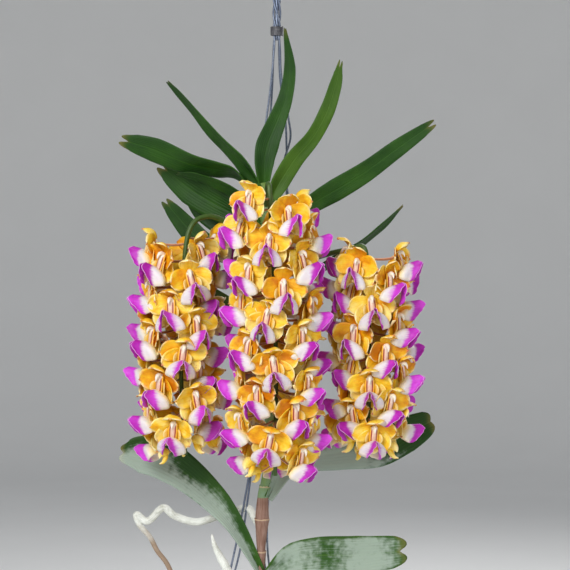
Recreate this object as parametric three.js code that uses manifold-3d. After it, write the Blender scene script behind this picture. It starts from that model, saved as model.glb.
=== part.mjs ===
// Aerides houlletiana in flower, growing in a slatted teak basket that hangs on four wires.
// Millimetres, +Z up. The origin is the inside top of the hook, where the rail passes,
// and the flowers are looked at along +Y, so the front of the plant is at -Y.
import * as THREE from "three";
import { mergeVertices } from "three/addons/utils/BufferGeometryUtils.js";
import Module from "manifold-3d";

const wasm = await Module();
wasm.setup();

// Driving dimensions
const GAP = 0.3; // running gap between pieces that touch
const SLAT = { length: 96, width: 9, height: 7, inset: 6 };
const SLAT_LAYERS = 8; // pairs of slats, laid log-cabin fashion
const FLOOR_SLATS = 5;
const BASKET = { x: -17, y: 0, rim: -590 };
const WIRE = { thick: 1.6, hole: 3.6, foot: 8 }; // the foot is bent under the lowest slat
const TWIST = { top: -56, bottom: -86, step: 6, turn: 0.12 }; // radians a millimetre
const HOOK = { wire: 3, inner: 10, shankX: 0.5, shankFoot: -87 };
const TIE = { z: -80, height: 8, wall: 1.1, crown: 0.5 };
const LEAF_THICK = { edge: 1.0, keel: 2.0 };
const FLOWER = { pedicelThick: 1.9, lipLength: 18, lipRoot: 3, throat: 4.5 };
const SPINE = { top: 2.3, tip: 1.5 }; // radii of the peduncle's root and the rachis's end
const MEDIUM = { columns: 5, rows: 5, pitch: 14, top: -596, bedDepth: 7 };

const layerStep = SLAT.height + GAP;
const basketFloor = BASKET.rim - SLAT_LAYERS * layerStep;
const cornerReach = SLAT.length / 2 - SLAT.inset;

// Small maths

const vector = ([x, y, z]) => new THREE.Vector3(x, y, z);
const radians = THREE.MathUtils.degToRad;
const mix = THREE.MathUtils.lerp;

// A steady draw between -1 and 1 for the copy k of a repeat.
function wobble(k, channel) {
  const s = Math.sin(k * 12.9898 + channel * 78.233) * 43758.5453;
  return (s - Math.floor(s)) * 2 - 1;
}

// A smooth curve through points, walked evenly from point to point.
const smooth = (points) => new THREE.CatmullRomCurve3(points.map(vector), false, "catmullrom", 0.5);

// One that doesn't swing past points that lie close together.
const taut = (points) => new THREE.CatmullRomCurve3(points.map(vector), false, "centripetal");

// A value between the listed ones at t from 0 to 1.
function along(values, t) {
  const place = t * (values.length - 1);
  const i = Math.min(Math.floor(place), values.length - 2);
  return mix(values[i], values[i + 1], place - i);
}

// Solids

// The solid inside a closed geometry, whichever way round its faces are listed.
function solidOf(geometry) {
  const bare = geometry.clone();
  bare.deleteAttribute("normal");
  bare.deleteAttribute("uv");
  const merged = mergeVertices(bare, 1e-4);
  const vertProperties = new Float32Array(merged.attributes.position.array);
  const triVerts = new Uint32Array(merged.index.array);
  const made = new wasm.Manifold(new wasm.Mesh({ numProp: 3, vertProperties, triVerts }));
  if (made.volume() > 0) return made;
  return new wasm.Manifold(
    new wasm.Mesh({ numProp: 3, vertProperties, triVerts: triVerts.reverse() }),
  );
}

function geometryOf(solid) {
  const { vertProperties, triVerts } = solid.getMesh();
  const geometry = new THREE.BufferGeometry();
  geometry.setAttribute("position", new THREE.BufferAttribute(vertProperties, 3));
  geometry.setIndex(new THREE.BufferAttribute(triVerts, 1));
  return geometry;
}

const joined = (solids) => wasm.Manifold.union(solids);

// The main body of a solid once the clearance solids are cut from it, with tiny facets merged.
function cutClear(solid, clearances, merge = 0.02) {
  const cut = clearances.reduce((rest, clearance) => rest.subtract(clearance), solid);
  const bodies = cut.simplify(merge).decompose();
  return bodies.sort((a, b) => b.volume() - a.volume())[0];
}

// A closed geometry from rows of points and the triangles between them.
function facets(points, triangles) {
  const geometry = new THREE.BufferGeometry();
  geometry.setAttribute("position", new THREE.Float32BufferAttribute(points.flat(), 3));
  geometry.setIndex(triangles.flat());
  return geometry;
}

// A round bar along a curve, its radius a function of t from 0 to 1.
function bar(curve, radiusAt, sides, steps) {
  const geometry = new THREE.CylinderGeometry(1, 1, 1, sides, steps);
  const frames = curveFrames(curve, steps);
  const position = geometry.attributes.position;
  for (let i = 0; i < position.count; i++) {
    const t = 0.5 - position.getY(i);
    const { point, side, up } = frames[Math.round(t * steps)];
    const r = radiusAt(t);
    const p = point
      .clone()
      .addScaledVector(side, position.getX(i) * r)
      .addScaledVector(up, position.getZ(i) * r);
    position.setXYZ(i, p.x, p.y, p.z);
  }
  return geometry;
}

// Points and cross directions at even steps of a curve, turned as little as the curve allows.
function curveFrames(curve, steps) {
  const frames = [];
  let side = null;
  for (let i = 0; i <= steps; i++) {
    const t = i / steps;
    const tangent = curve.getTangent(t);
    if (!side) side = new THREE.Vector3(0, 1, 0).cross(tangent);
    if (side.lengthSq() < 1e-6) side = new THREE.Vector3(1, 0, 0);
    side = side.clone().addScaledVector(tangent, -side.dot(tangent)).normalize();
    const up = new THREE.Vector3().crossVectors(side, tangent).negate();
    frames.push({ point: curve.getPoint(t), tangent, side, up });
  }
  return frames;
}

function material(color, roughness, metalness = 0) {
  return new THREE.MeshStandardMaterial({ color, roughness, metalness });
}

const plant = new THREE.Group();

function place(name, solid, look) {
  const mesh = new THREE.Mesh(geometryOf(solid), look);
  mesh.name = name;
  plant.add(mesh);
  return solid;
}

const LOOKS = {
  stem: material(0x7b5a45, 0.7),
  leaf: material(0x2f5a22, 0.45),
  raceme: material(0xeea62a, 0.5),
  root: material(0xcfd2c4, 0.75),
  teak: material(0x8a5a35, 0.7),
  medium: material(0x4a3424, 0.9),
  wire: material(0x8d949c, 0.35, 0.9),
};

// Stem

const STEM = {
  path: [
    [-13.5, 0, -622], [-12.8, 0, -560], [-11, 0, -489], [-11.5, 0, -473], [-10.8, 0, -452],
    [-10, 0, -436], [-6, 0, -410], [-3, 0, -340], [-3, 0, -253], [-7, 0, -215],
    [-10.5, 0, -196],
  ],
  radii: [3.6, 3.4, 2.6, 3.4, 5.3, 4.3, 3.8, 4.6, 6.2, 6.4, 4.2],
  ring: { z: -452, pitch: 25 }, // a sheath's rim is at this height, the others a pitch apart
  nodeSwell: 0.7, // how far a sheath's rim stands out
  sides: 8,
  steps: 30,
};

const stemCurve = smooth(STEM.path);

// The dry sheaths overlap like cups, each rim a little proud of the one above.
function stemRadius(t, grow = 0) {
  const place = (stemCurve.getPoint(t).z - STEM.ring.z) / STEM.ring.pitch;
  const sheath = THREE.MathUtils.euclideanModulo(place, 1);
  return along(STEM.radii, t) + STEM.nodeSwell * sheath ** 3 + grow;
}

const stemSolid = (grow = 0) =>
  solidOf(bar(stemCurve, (t) => stemRadius(t, grow), STEM.sides, STEM.steps));

// Leaves

// Each leaf is a strap along a curve: widths from base to tip, roll of the blade about its
// curve in degrees at base and tip (0 faces the front), fold of its two halves at base and
// tip, and how deep the tip is notched between its unequal lobes.
const LEAVES = [
  {
    name: "leaf_crown",
    path: [
      [-10, 0, -204], [-9.5, -1, -182], [-6.5, -2, -166.5], [1, -3, -148], [7.5, -4, -130],
      [10.5, -5, -108], [7, -6, -80],
    ],
    widths: [11, 18, 19, 15, 12, 9.5, 3],
    roll: [10, -12],
    fold: [55, 22],
    notch: 0,
  },
  {
    name: "leaf_upper_right",
    path: [
      [-6, 0, -212], [2, 0, -196], [14, 0, -177.5], [28, -2, -161], [38.5, -4, -141.5],
      [45, -6, -122], [49, -8, -104.5],
    ],
    widths: [12, 17, 14.5, 12.5, 12, 10, 5],
    roll: [20, 5],
    fold: [55, 14],
    notch: 4,
  },
  {
    name: "leaf_far_right",
    path: [
      [-3, 0, -229], [25, 3, -212.5], [45, 4, -201], [69, 3, -186.5], [93, 1, -169],
      [120, -2, -150.5],
    ],
    widths: [12, 16, 18, 16.5, 14, 9],
    roll: [24, 10],
    fold: [55, 12],
    notch: 5,
  },
  {
    name: "leaf_upper_left",
    path: [
      [-9, 0, -202], [-21, 3, -186], [-37, 7, -169], [-52, 9, -153.5], [-68, 12, -134],
      [-83, 15, -117.5],
    ],
    widths: [12, 16, 14, 11, 9.5, 6],
    roll: [-50, -60],
    fold: [50, 14],
    notch: 2,
  },
  {
    name: "leaf_far_left",
    path: [
      [-9, 0, -212], [-27, -1, -190], [-46, -3, -185.5], [-68.5, -5, -180.5], [-92, -7, -171],
      [-117, -9, -163.5],
    ],
    widths: [11, 17, 20, 21, 20, 12],
    roll: [-92, -8],
    fold: [50, 10],
    notch: 5,
  },
  {
    name: "leaf_broad_left",
    path: [[-6, 0, -236], [-27, 8, -222], [-46, 13, -212], [-66, 16, -200], [-89, 18, -182]],
    widths: [12, 21, 24, 24, 13],
    roll: [-15, -8],
    fold: [50, 14],
    notch: 4,
  },
  {
    name: "leaf_slender_left",
    path: [[-7, 0, -222], [-33, -2, -203], [-47, -3, -196], [-61, -3, -191], [-74, -2, -189]],
    widths: [13, 11, 9, 8, 5],
    roll: [-40, -50],
    fold: [40, 12],
    notch: 1,
  },
  {
    name: "leaf_shoulder_left",
    path: [[-4, 0, -268], [-28, 13, -252], [-52, 20, -244], [-68, 23, -230], [-86, 24, -209]],
    widths: [11, 17, 18, 17, 10],
    roll: [-10, -6],
    fold: [50, 10],
    notch: 3,
  },
  {
    name: "leaf_back_left",
    path: [[-5, 0, -252], [-24, 19, -238], [-42, 28, -226], [-58, 34, -214], [-70, 37, -200]],
    widths: [11, 18, 20, 18, 9],
    roll: [-8, -4],
    fold: [50, 10],
    notch: 3,
  },
  {
    name: "leaf_low_left",
    path: [
      [-4, 0, -306], [-34, 16, -290], [-62, 24, -276], [-84, 26, -262], [-97, 26, -252],
      [-107, 25, -246],
    ],
    widths: [11, 15, 15, 13, 10, 5],
    roll: [-20, -30],
    fold: [50, 12],
    notch: 2,
  },
  {
    name: "leaf_low_right",
    path: [
      [-3, 0, -285], [22, 13, -268], [45, 20, -254], [64.5, 22, -242], [82, 22, -228],
      [97, 21, -213],
    ],
    widths: [11, 14, 14, 12, 10, 5],
    roll: [58, 66],
    fold: [50, 14],
    notch: 2,
  },
  {
    name: "leaf_mid_right",
    path: [
      [-7, 0, -437], [11, 8, -410], [48, 17, -403], [78, 19, -400], [100, 18, -389],
      [119, 16, -379],
    ],
    widths: [13, 22, 28, 30, 29, 20],
    roll: [8, 6],
    fold: [60, 10],
    notch: 0,
  },
  {
    name: "leaf_lower_left",
    path: [
      [-12, 0, -492], [-33, 3, -455], [-55, 4, -430], [-79.5, 5, -411], [-102, 4, -403],
      [-118, 2, -402],
    ],
    widths: [13, 18, 25, 32, 31, 18],
    roll: [6, 0],
    fold: [60, 20],
    notch: 1,
  },
  {
    name: "leaf_lower_right",
    path: [[-11, 0, -500], [10.5, -2, -484], [33, -4, -479.5], [63, -6, -479], [98, -8, -475.5]],
    widths: [13, 25, 29, 30, 24],
    roll: [2, -6],
    fold: [58, 12],
    notch: 4,
  },
];
const LEAF_ROWS = 7;
const LEAF_COLUMNS = [-1, -0.55, 0, 0.55, 1];
const CLASP = 0.3; // the share of a leaf's length over which its base opens out
const LOBE = { longer: 2, corner: 2 }; // the longer lobe's lead, and how its corner is cut back

// Where a point of a leaf's blade lies: t from base to tip, u from edge to edge,
// out from its middle surface.
function leafPoint(leaf, curve, t, u, out, grow) {
  const tangent = curve.getTangent(t);
  const forward = new THREE.Vector3(0, -1, 0);
  const across = new THREE.Vector3().crossVectors(forward, tangent).normalize();
  const face = new THREE.Vector3().crossVectors(tangent, across).normalize();
  const roll = radians(along(leaf.roll, t));
  const side = across.clone().multiplyScalar(Math.cos(roll)).addScaledVector(face, Math.sin(roll));
  const normal = face.multiplyScalar(Math.cos(roll)).addScaledVector(across, -Math.sin(roll));
  const open = Math.min(1, t / CLASP);
  const fold = radians(mix(leaf.fold[0], leaf.fold[1], open));
  const half = along(leaf.widths, t) / 2 + grow;
  const tip = t === 1 ? leafTip(leaf, u) : 0;
  return curve
    .getPoint(t)
    .addScaledVector(tangent, tip + (t === 1 ? grow : 0))
    .addScaledVector(side, u * half * Math.cos(fold))
    .addScaledVector(normal, Math.abs(u) * half * Math.sin(fold) + out);
}

// The tip ends in two lobes, the one on the positive side longer.
function leafTip(leaf, u) {
  const corner = Math.abs(u) === 1 ? -leaf.notch - LOBE.corner : 0;
  const middle = u === 0 ? -leaf.notch : 0;
  return corner + middle + (u > 0 ? LOBE.longer : 0);
}

// A strap blade as a closed solid, its two faces split into triangles alike.
function leafSolid(leaf, grow = 0) {
  const curve = smooth(leaf.path);
  const columns = LEAF_COLUMNS.length;
  const points = [];
  for (const sign of [1, -1])
    for (let i = 0; i <= LEAF_ROWS; i++)
      for (const u of LEAF_COLUMNS) {
        const thick = mix(LEAF_THICK.keel, LEAF_THICK.edge, Math.abs(u)) / 2 + grow;
        const t = i / LEAF_ROWS;
        points.push(leafPoint(leaf, curve, t, u, sign * thick, grow).toArray());
      }
  const back = (LEAF_ROWS + 1) * columns;
  const triangles = [];
  const quad = (a, b, c, d) => triangles.push([a, b, c], [a, c, d]);
  for (let i = 0; i < LEAF_ROWS; i++)
    for (let j = 0; j < columns - 1; j++) {
      const a = i * columns + j;
      quad(a, a + 1, a + columns + 1, a + columns);
      triangles.push([back + a, back + a + columns + 1, back + a + 1]);
      triangles.push([back + a, back + a + columns, back + a + columns + 1]);
    }
  for (let i = 0; i < LEAF_ROWS; i++) {
    const left = i * columns;
    const right = left + columns - 1;
    quad(left, left + columns, back + left + columns, back + left);
    quad(right, back + right, back + right + columns, right + columns);
  }
  for (let j = 0; j < columns - 1; j++) {
    const end = LEAF_ROWS * columns + j;
    quad(j, back + j, back + j + 1, j + 1);
    quad(end, end + 1, back + end + 1, back + end);
  }
  return solidOf(facets(points, triangles));
}

// Racemes

// Each raceme hangs from its peduncle and is crowded all round with flowers. Its flowers
// stay on their own side of the walls, each a point and a direction that leads back inside.
const RACEMES = [
  {
    name: "raceme_left",
    peduncle: [[-3, 0, -272], [-16, -1, -246], [-31, -8, -230], [-52, -18, -222]],
    rachis: [[-66, -25, -236], [-70, -25, -290], [-71, -25, -345], [-68, -25, -401]],
    flowers: 39,
    reach: 43,
    turn: 40,
    walls: [
      { point: [-38.5, -38, 0], inward: [-67, 27, 0] },
      { point: [0, 9, 0], inward: [0, -1, 0] },
    ],
  },
  {
    name: "raceme_middle",
    peduncle: [[-8, 0, -216], [-7, -16, -206], [-6, -33, -199], [-5, -46, -200]],
    rachis: [[-4.5, -52, -208], [-1, -52, -275], [0, -52, -345], [-0.5, -52, -414]],
    flowers: 50,
    reach: 46,
    turn: 245,
    walls: [
      { point: [-37.5, -38.5, 0], inward: [67, -27, 0] },
      { point: [36.5, -38.5, 0], inward: [-67, -27, 0] },
      { point: [0, -8, 0], inward: [0, -1, 0] },
    ],
  },
  {
    name: "raceme_right",
    peduncle: [[-3, 0, -264], [20, -2, -256], [40, -9, -250], [56, -17, -247]],
    rachis: [[67, -25, -248], [69, -25, -290], [70, -25, -345], [68, -25, -401]],
    flowers: 37,
    reach: 43,
    turn: 200,
    walls: [
      { point: [37.5, -38, 0], inward: [67, 27, 0] },
      { point: [0, 9, 0], inward: [0, -1, 0] },
    ],
  },
];
const GOLDEN_TURN = 137.508;
const WALL_MARGIN = 5; // how near a wall the petals start to bend

// How far a flower's lip reaches in a direction before it meets a wall.
function reachInside(raceme, axis, direction) {
  return raceme.walls.reduce((reach, wall) => {
    const inward = vector(wall.inward).normalize();
    const room = inward.dot(axis.clone().sub(vector(wall.point)));
    const towards = -inward.dot(direction);
    return towards > 0.05 ? Math.min(reach, (room - 1.5) / towards) : reach;
  }, raceme.reach);
}

// Bends a point back to its own side of the raceme's walls.
function bendInside(raceme, point) {
  for (const wall of raceme.walls) {
    const inward = vector(wall.inward).normalize();
    const room = inward.dot(point.clone().sub(vector(wall.point)));
    if (room >= WALL_MARGIN) continue;
    const bent = WALL_MARGIN * Math.exp((room - WALL_MARGIN) / WALL_MARGIN);
    point.addScaledVector(inward, bent - room + GAP);
  }
  return point;
}

// The sepals and petals on the flower's right, and the hood over its column: the way each
// points, its length, half width, and how far forward its tip and sides lie.
const LOWER_SEPAL = { turn: -51, length: 15.5, half: 6, tip: 0.8, side: 0 };
const PETAL = { turn: -14, length: 17.5, half: 8.2, tip: 3.5, side: 1.2 };
const HOOD = { turn: 90, length: 10, half: 6.8, tip: 11.5, side: 3 };
const SHALLOW_NOTCH = { turn: -33, radius: 10 };
const DEEP_NOTCH = { turn: 38, radius: 5.5 };
const WIDEST = 0.6; // where a lobe is widest, as a share of its length

// A point of a lobe in the flower's own axes: x out from the raceme, y to the side, z up.
function lobePoint(lobe, length, side, forward) {
  const turn = radians(lobe.turn);
  return [
    forward,
    Math.cos(turn) * length - Math.sin(turn) * side,
    Math.sin(turn) * length + Math.cos(turn) * side,
  ];
}

const lobeTip = (lobe) => lobePoint(lobe, lobe.length, 0, lobe.tip);
const lobeSide = (lobe, sign) =>
  lobePoint(lobe, lobe.length * WIDEST, sign * lobe.half, lobe.side);
const notchPoint = (notch) => lobePoint(notch, notch.radius, 0, 0);

// The rim of the flower from the right foot of the lip over the hood to the left one.
function flowerRim() {
  const right = [
    lobeSide(LOWER_SEPAL, -1),
    lobeTip(LOWER_SEPAL),
    notchPoint(SHALLOW_NOTCH),
    lobeTip(PETAL),
    lobeSide(PETAL, 1),
    notchPoint(DEEP_NOTCH),
    lobeSide(HOOD, -1),
  ];
  const left = right.map(([x, y, z]) => [x, -y, z]).reverse();
  return [...right, lobeTip(HOOD), ...left];
}

// One flower as a single closed skin: the lobes are a fan round the column, the lip is a
// flared roof that runs out from the throat below it, and the pedicel tapers back to the
// rachis.
function flowerGeometry(back) {
  const rim = flowerRim();
  const r = FLOWER.pedicelThick / 2;
  const lipEnd = FLOWER.lipRoot + FLOWER.lipLength;
  const points = [
    [FLOWER.throat, 0, 2], [FLOWER.throat + 0.5, 0, -7.5],
    [lipEnd - 2.5, 0, -5], [lipEnd, -3.5, -8], [lipEnd, 3.5, -8], [lipEnd - 3, 0, -7.5],
    [lipEnd * 0.52, -7, -17.5], [lipEnd * 0.52, 7, -17.5],
  ];
  const [column, foot, ridge, left, right, under, leftFlap, rightFlap] = points.keys();
  const first = points.length;
  const last = first + rim.length - 1;
  points.push(...rim);
  const neck = points.length;
  for (const [x, rise] of [[-1.3, 0], [-back, back * 0.12]])
    for (const turn of [90, 210, 330])
      points.push([x, r * Math.cos(radians(turn)), r * Math.sin(radians(turn)) + rise]);

  const triangles = [
    [column, last, foot], [foot, last, leftFlap], [foot, leftFlap, ridge],
    [ridge, leftFlap, left], [ridge, left, under],
    [column, foot, first], [foot, rightFlap, first], [foot, ridge, rightFlap],
    [ridge, right, rightFlap], [ridge, under, right],
    [last, under, leftFlap], [leftFlap, under, left], [last, first, under],
    [first, rightFlap, under], [rightFlap, right, under],
    [neck + 3, neck + 5, neck + 4],
  ];
  for (let i = first; i < last; i++) triangles.push([column, i, i + 1]);
  let held = 2; // the neck corner that the rim is joined to, starting below on the right
  for (let i = first; i <= last; i++) {
    const next = i === last ? first : i + 1;
    const [, y, z] = points[next];
    const turn = (THREE.MathUtils.radToDeg(Math.atan2(z, y)) + 360) % 360;
    triangles.push([neck + held, next, i]);
    const wanted = next === first || turn >= 270 ? 2 : turn < 150 ? 0 : 1;
    if (wanted !== held) triangles.push([neck + held, neck + wanted, next]);
    held = wanted;
  }
  for (let i = 0; i < 3; i++) {
    const j = (i + 1) % 3;
    triangles.push([neck + i, neck + 3 + i, neck + 3 + j], [neck + i, neck + 3 + j, neck + j]);
  }
  return facets(points, triangles);
}

// Where flower k of a raceme sits: its centre, axes, size, and how far back the rachis is.
function flowerPlace(raceme, rachis, k) {
  const t = (k + 0.5) / raceme.flowers;
  const axis = rachis.getPoint(t);
  const turn = radians(raceme.turn + GOLDEN_TURN * k + 9 * wobble(k, 1));
  const flat = new THREE.Vector3(Math.cos(turn), Math.sin(turn), 0);
  const young = THREE.MathUtils.smoothstep(t, 0.86, 1.04);
  const size = (1 - 0.42 * young) * (1 + 0.05 * wobble(k, 2));
  const reach = reachInside(raceme, axis, flat) * (1 - 0.35 * young);
  const back = Math.max(8, reach - (FLOWER.lipRoot + FLOWER.lipLength) * size);
  const nod = radians(mix(10, -14, t) - 14 * young + 6 * wobble(k, 3));
  const out = flat.clone().multiplyScalar(Math.cos(nod)).setZ(Math.sin(nod));
  const side = new THREE.Vector3(-flat.y, flat.x, 0);
  const up = new THREE.Vector3().crossVectors(out, side);
  return { centre: axis.clone().addScaledVector(flat, back), out, side, up, size, back };
}

function flowerSolid(raceme, rachis, k) {
  const spot = flowerPlace(raceme, rachis, k);
  const basis = new THREE.Matrix4().makeBasis(
    spot.out.clone().multiplyScalar(spot.size),
    spot.side.clone().multiplyScalar(spot.size),
    spot.up.clone().multiplyScalar(spot.size),
  );
  basis.setPosition(spot.centre);
  const flower = flowerGeometry(spot.back / spot.size).applyMatrix4(basis);
  const position = flower.attributes.position;
  for (let i = 0; i < position.count; i++) {
    const p = bendInside(raceme, new THREE.Vector3().fromBufferAttribute(position, i));
    position.setXYZ(i, p.x, p.y, p.z);
  }
  return solidOf(flower);
}

const spineCurve = (raceme) => smooth([...raceme.peduncle, ...raceme.rachis]);
const spineSolid = (raceme, grow = 0) =>
  solidOf(bar(spineCurve(raceme), (t) => mix(SPINE.top, SPINE.tip, t) + grow, 5, 16));

function racemeSolid(raceme) {
  const rachis = smooth(raceme.rachis);
  const flowers = Array.from({ length: raceme.flowers }, (_, k) =>
    flowerSolid(raceme, rachis, k),
  );
  return joined([spineSolid(raceme), ...flowers]);
}

// Roots: the free ones hang in the air, the others go into the bark

const ROOTS = [
  {
    name: "root_long_left",
    path: [
      [-10, 0, -462], [-16, 7, -453], [-21.5, 14, -446], [-31, 18, -448], [-46, 18, -453],
      [-62.5, 15, -456.5], [-78, 12, -451.5], [-87, 9, -445], [-98.5, 8, -455],
      [-107, 8, -450], [-105, 9, -458], [-97.5, 10, -467], [-91.5, 10, -478],
      [-83.5, 10, -489], [-77, 9, -506], [-74, 7, -528],
    ],
    radii: [3, 3.1, 3, 3, 2.9, 3, 2.9, 3, 2.9, 2.7, 2.2, 2, 1.9, 1.9, 1.8, 1],
    steps: 28,
  },
  {
    name: "root_rising_left",
    path: [
      [-12.5, 0, -556], [-21, -6, -545], [-28, -9, -522], [-33, -9, -502], [-37.5, -8, -489.5],
      [-42, -8, -481], [-46.5, -8, -472], [-49, -8, -463],
    ],
    radii: [2.8, 2.9, 3.1, 3.3, 3.4, 3.1, 2, 0.8],
    steps: 14,
  },
  {
    name: "root_into_bark_left",
    path: [[-12.5, 0, -532], [-24, -8, -545], [-35, -13, -568], [-38, -14, -592], [-37, -13, -612]],
    radii: [2.6, 2.7, 2.7, 2.6, 1.8],
    steps: 10,
  },
  {
    name: "root_into_bark_front",
    path: [[-12, 0, -520], [-6, -10, -530], [-3, -18, -555], [-6, -22, -585], [-9, -22, -612]],
    radii: [2.6, 2.7, 2.7, 2.6, 1.8],
    steps: 14,
  },
  {
    name: "root_into_bark_back",
    path: [[-12.5, 0, -542], [-8, 11, -552], [0, 18, -575], [2, 20, -598], [0, 19, -614]],
    radii: [2.6, 2.7, 2.7, 2.6, 1.8],
    steps: 14,
  },
];

const ROOT_SIDES = 5;

const rootSolid = (root, grow = 0) =>
  solidOf(bar(smooth(root.path), (t) => along(root.radii, t) + grow, ROOT_SIDES, root.steps));

// Hanger: a wire hook, and four wires twisted round its shank under a tie band

function hookCurve() {
  const r = HOOK.inner + HOOK.wire / 2;
  const points = [[-r - 2.5, 0, -HOOK.inner - 9]];
  for (let turn = 180; turn >= -20; turn -= 20)
    points.push([
      r * Math.cos(radians(turn)), 0, -HOOK.inner + r * Math.sin(radians(turn)),
    ]);
  points.push([5, 0, -24], [HOOK.shankX, 0, -34], [HOOK.shankX, 0, -60]);
  points.push([HOOK.shankX, 0, HOOK.shankFoot]);
  return smooth(points);
}

const hookSolid = () => solidOf(bar(hookCurve(), () => HOOK.wire / 2, 6, 24));

const twistRadius = HOOK.wire / 2 + WIRE.thick / 2 + GAP;

// The wires lean on the plant on their way down, then spread to the basket's corners.
const WIRE_ROUTES = [
  {
    name: "wire_back_left",
    corner: [-1, 1],
    route: [
      [-3, 8, -120], [-5, 11, -146], [-11, 13, -172], [-15, 15, -220], [-17, 17, -300],
      [-18, 15, -400], [-22.5, 12, -443], [-30, 17, -487.5],
    ],
  },
  {
    name: "wire_front_left",
    corner: [-1, -1],
    route: [
      [-4, 4, -120], [-8, 9, -150], [-12.5, 12, -190], [-14, 12, -240], [-14.5, 12.5, -320],
      [-19, 11, -405], [-25, 11.5, -443], [-34, 12, -487.5], [-42, 0, -520],
    ],
  },
  {
    name: "wire_front_right",
    corner: [1, -1],
    route: [
      [4, 5, -115], [9.5, 9, -146], [11, 12, -160], [5.5, 13, -182], [9, 13, -205],
      [8, 13, -250], [4, 13, -320], [-4, 13, -410], [-7, 12, -470], [-3, 10, -505],
      [6, -5, -540],
    ],
  },
  {
    name: "wire_back_right",
    corner: [1, 1],
    route: [
      [3, 9, -115], [7, 13, -146], [8, 16, -170], [8, 17, -205], [6, 17, -260],
      [2, 17, -330], [-6, 16, -410], [-11, 14, -470], [-5, 17, -505],
    ],
  },
];

// One wire: turns round the shank, runs its route, passes the corner holes and is bent
// under the lowest slat.
function wireCurve(wire) {
  const [sx, sy] = wire.corner;
  const aim = Math.atan2(sy, sx);
  const points = [];
  for (let z = TWIST.top; z >= TWIST.bottom; z -= TWIST.step) {
    const turn = aim - (z - TWIST.bottom) * TWIST.turn;
    const x = HOOK.shankX + twistRadius * Math.cos(turn);
    points.push([x, twistRadius * Math.sin(turn), z]);
  }
  const x = BASKET.x + sx * cornerReach;
  const y = BASKET.y + sy * cornerReach;
  const foot = basketFloor - WIRE.thick / 2 - GAP;
  points.push(...wire.route, [x, y, BASKET.rim + 12], [x, y, BASKET.rim + 3]);
  points.push([x, y, basketFloor + 3], [x - sx * 0.8, y, foot + 0.2]);
  points.push([x - sx * WIRE.foot, y, foot]);
  return taut(points);
}

const wireSolid = (wire, grow = 0) =>
  solidOf(bar(wireCurve(wire), () => WIRE.thick / 2 + grow, 5, 28));

function tieSolid() {
  const inner = twistRadius + WIRE.thick / 2 + GAP;
  const outer = inner + TIE.wall;
  const half = TIE.height / 2;
  const crown = outer + TIE.crown;
  const profile = [
    [inner, -half], [outer, -half], [crown, 0], [outer, half], [inner, half], [inner, -half],
  ];
  const ring = new THREE.LatheGeometry(profile.map(([x, y]) => new THREE.Vector2(x, y)), 12);
  ring.rotateX(Math.PI / 2);
  ring.translate(HOOK.shankX, 0, TIE.z);
  return solidOf(ring);
}

// Basket

function slatSolid(z, alongX, offset, holes) {
  const size = alongX
    ? [SLAT.length, SLAT.width, SLAT.height]
    : [SLAT.width, SLAT.length, SLAT.height];
  const centre = alongX
    ? [BASKET.x, BASKET.y + offset, z]
    : [BASKET.x + offset, BASKET.y, z];
  const slat = new THREE.BoxGeometry(...size);
  slat.translate(...centre);
  const cuts = holes.map(([sx, sy]) => {
    const hole = new THREE.CylinderGeometry(WIRE.hole / 2, WIRE.hole / 2, SLAT.height + 2, 6);
    hole.rotateX(Math.PI / 2);
    hole.translate(BASKET.x + sx * cornerReach, BASKET.y + sy * cornerReach, z);
    return solidOf(hole);
  });
  return cuts.reduce((rest, cut) => rest.subtract(cut), solidOf(slat));
}

function buildSlats() {
  for (let layer = 0; layer < SLAT_LAYERS; layer++) {
    const z = basketFloor + layer * layerStep + SLAT.height / 2;
    const alongX = layer % 2 === 0;
    for (const sign of [-1, 1]) {
      const holes = alongX ? [[-1, sign], [1, sign]] : [[sign, -1], [sign, 1]];
      const name = `slat_${layer + 1}_${sign < 0 ? "a" : "b"}`;
      place(name, slatSolid(z, alongX, sign * cornerReach, holes), LOOKS.teak);
    }
  }
  const floorZ = basketFloor + 2 * layerStep + SLAT.height / 2;
  const pitch = (2 * cornerReach) / (FLOOR_SLATS + 1);
  for (let i = 0; i < FLOOR_SLATS; i++) {
    const offset = -cornerReach + (i + 1) * pitch;
    place(`floor_slat_${i + 1}`, slatSolid(floorZ, true, offset, []), LOOKS.teak);
  }
}

// One bark chip, turned and shifted from its place in the heap.
function chipSolid(k) {
  const column = (k % MEDIUM.columns) - (MEDIUM.columns - 1) / 2;
  const row = Math.floor(k / MEDIUM.columns) - (MEDIUM.rows - 1) / 2;
  const size = [17 + 4 * wobble(k, 4), 12 + 3 * wobble(k, 5), 9 + 2 * wobble(k, 6)];
  const chip = new THREE.BoxGeometry(...size);
  chip.rotateX(0.5 * wobble(k, 7));
  chip.rotateY(0.5 * wobble(k, 8));
  chip.rotateZ(3 * wobble(k, 9));
  chip.translate(
    BASKET.x + column * MEDIUM.pitch + 2.5 * wobble(k, 10),
    BASKET.y + row * MEDIUM.pitch + 2.5 * wobble(k, 11),
    MEDIUM.top - 6 + 3 * wobble(k, 12),
  );
  return solidOf(chip);
}

// Coarse bark chips heaped on a packed bed, all inside the slats.
function mediumSolid(clearances) {
  const inner = 2 * cornerReach - SLAT.width - 2 * GAP;
  const floor = basketFloor + 3 * layerStep;
  const bedTop = MEDIUM.top - MEDIUM.bedDepth;
  const bed = new THREE.BoxGeometry(inner, inner, bedTop - floor);
  bed.translate(BASKET.x, BASKET.y, (bedTop + floor) / 2);
  const chips = Array.from({ length: MEDIUM.columns * MEDIUM.rows }, (_, k) => chipSolid(k));
  const height = BASKET.rim - floor;
  const room = new THREE.BoxGeometry(inner, inner, height);
  room.translate(BASKET.x, BASKET.y, floor + height / 2);
  const heap = joined([solidOf(bed), ...chips]).intersect(solidOf(room));
  return cutClear(heap, clearances, 0.05);
}

// Assembly

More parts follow.
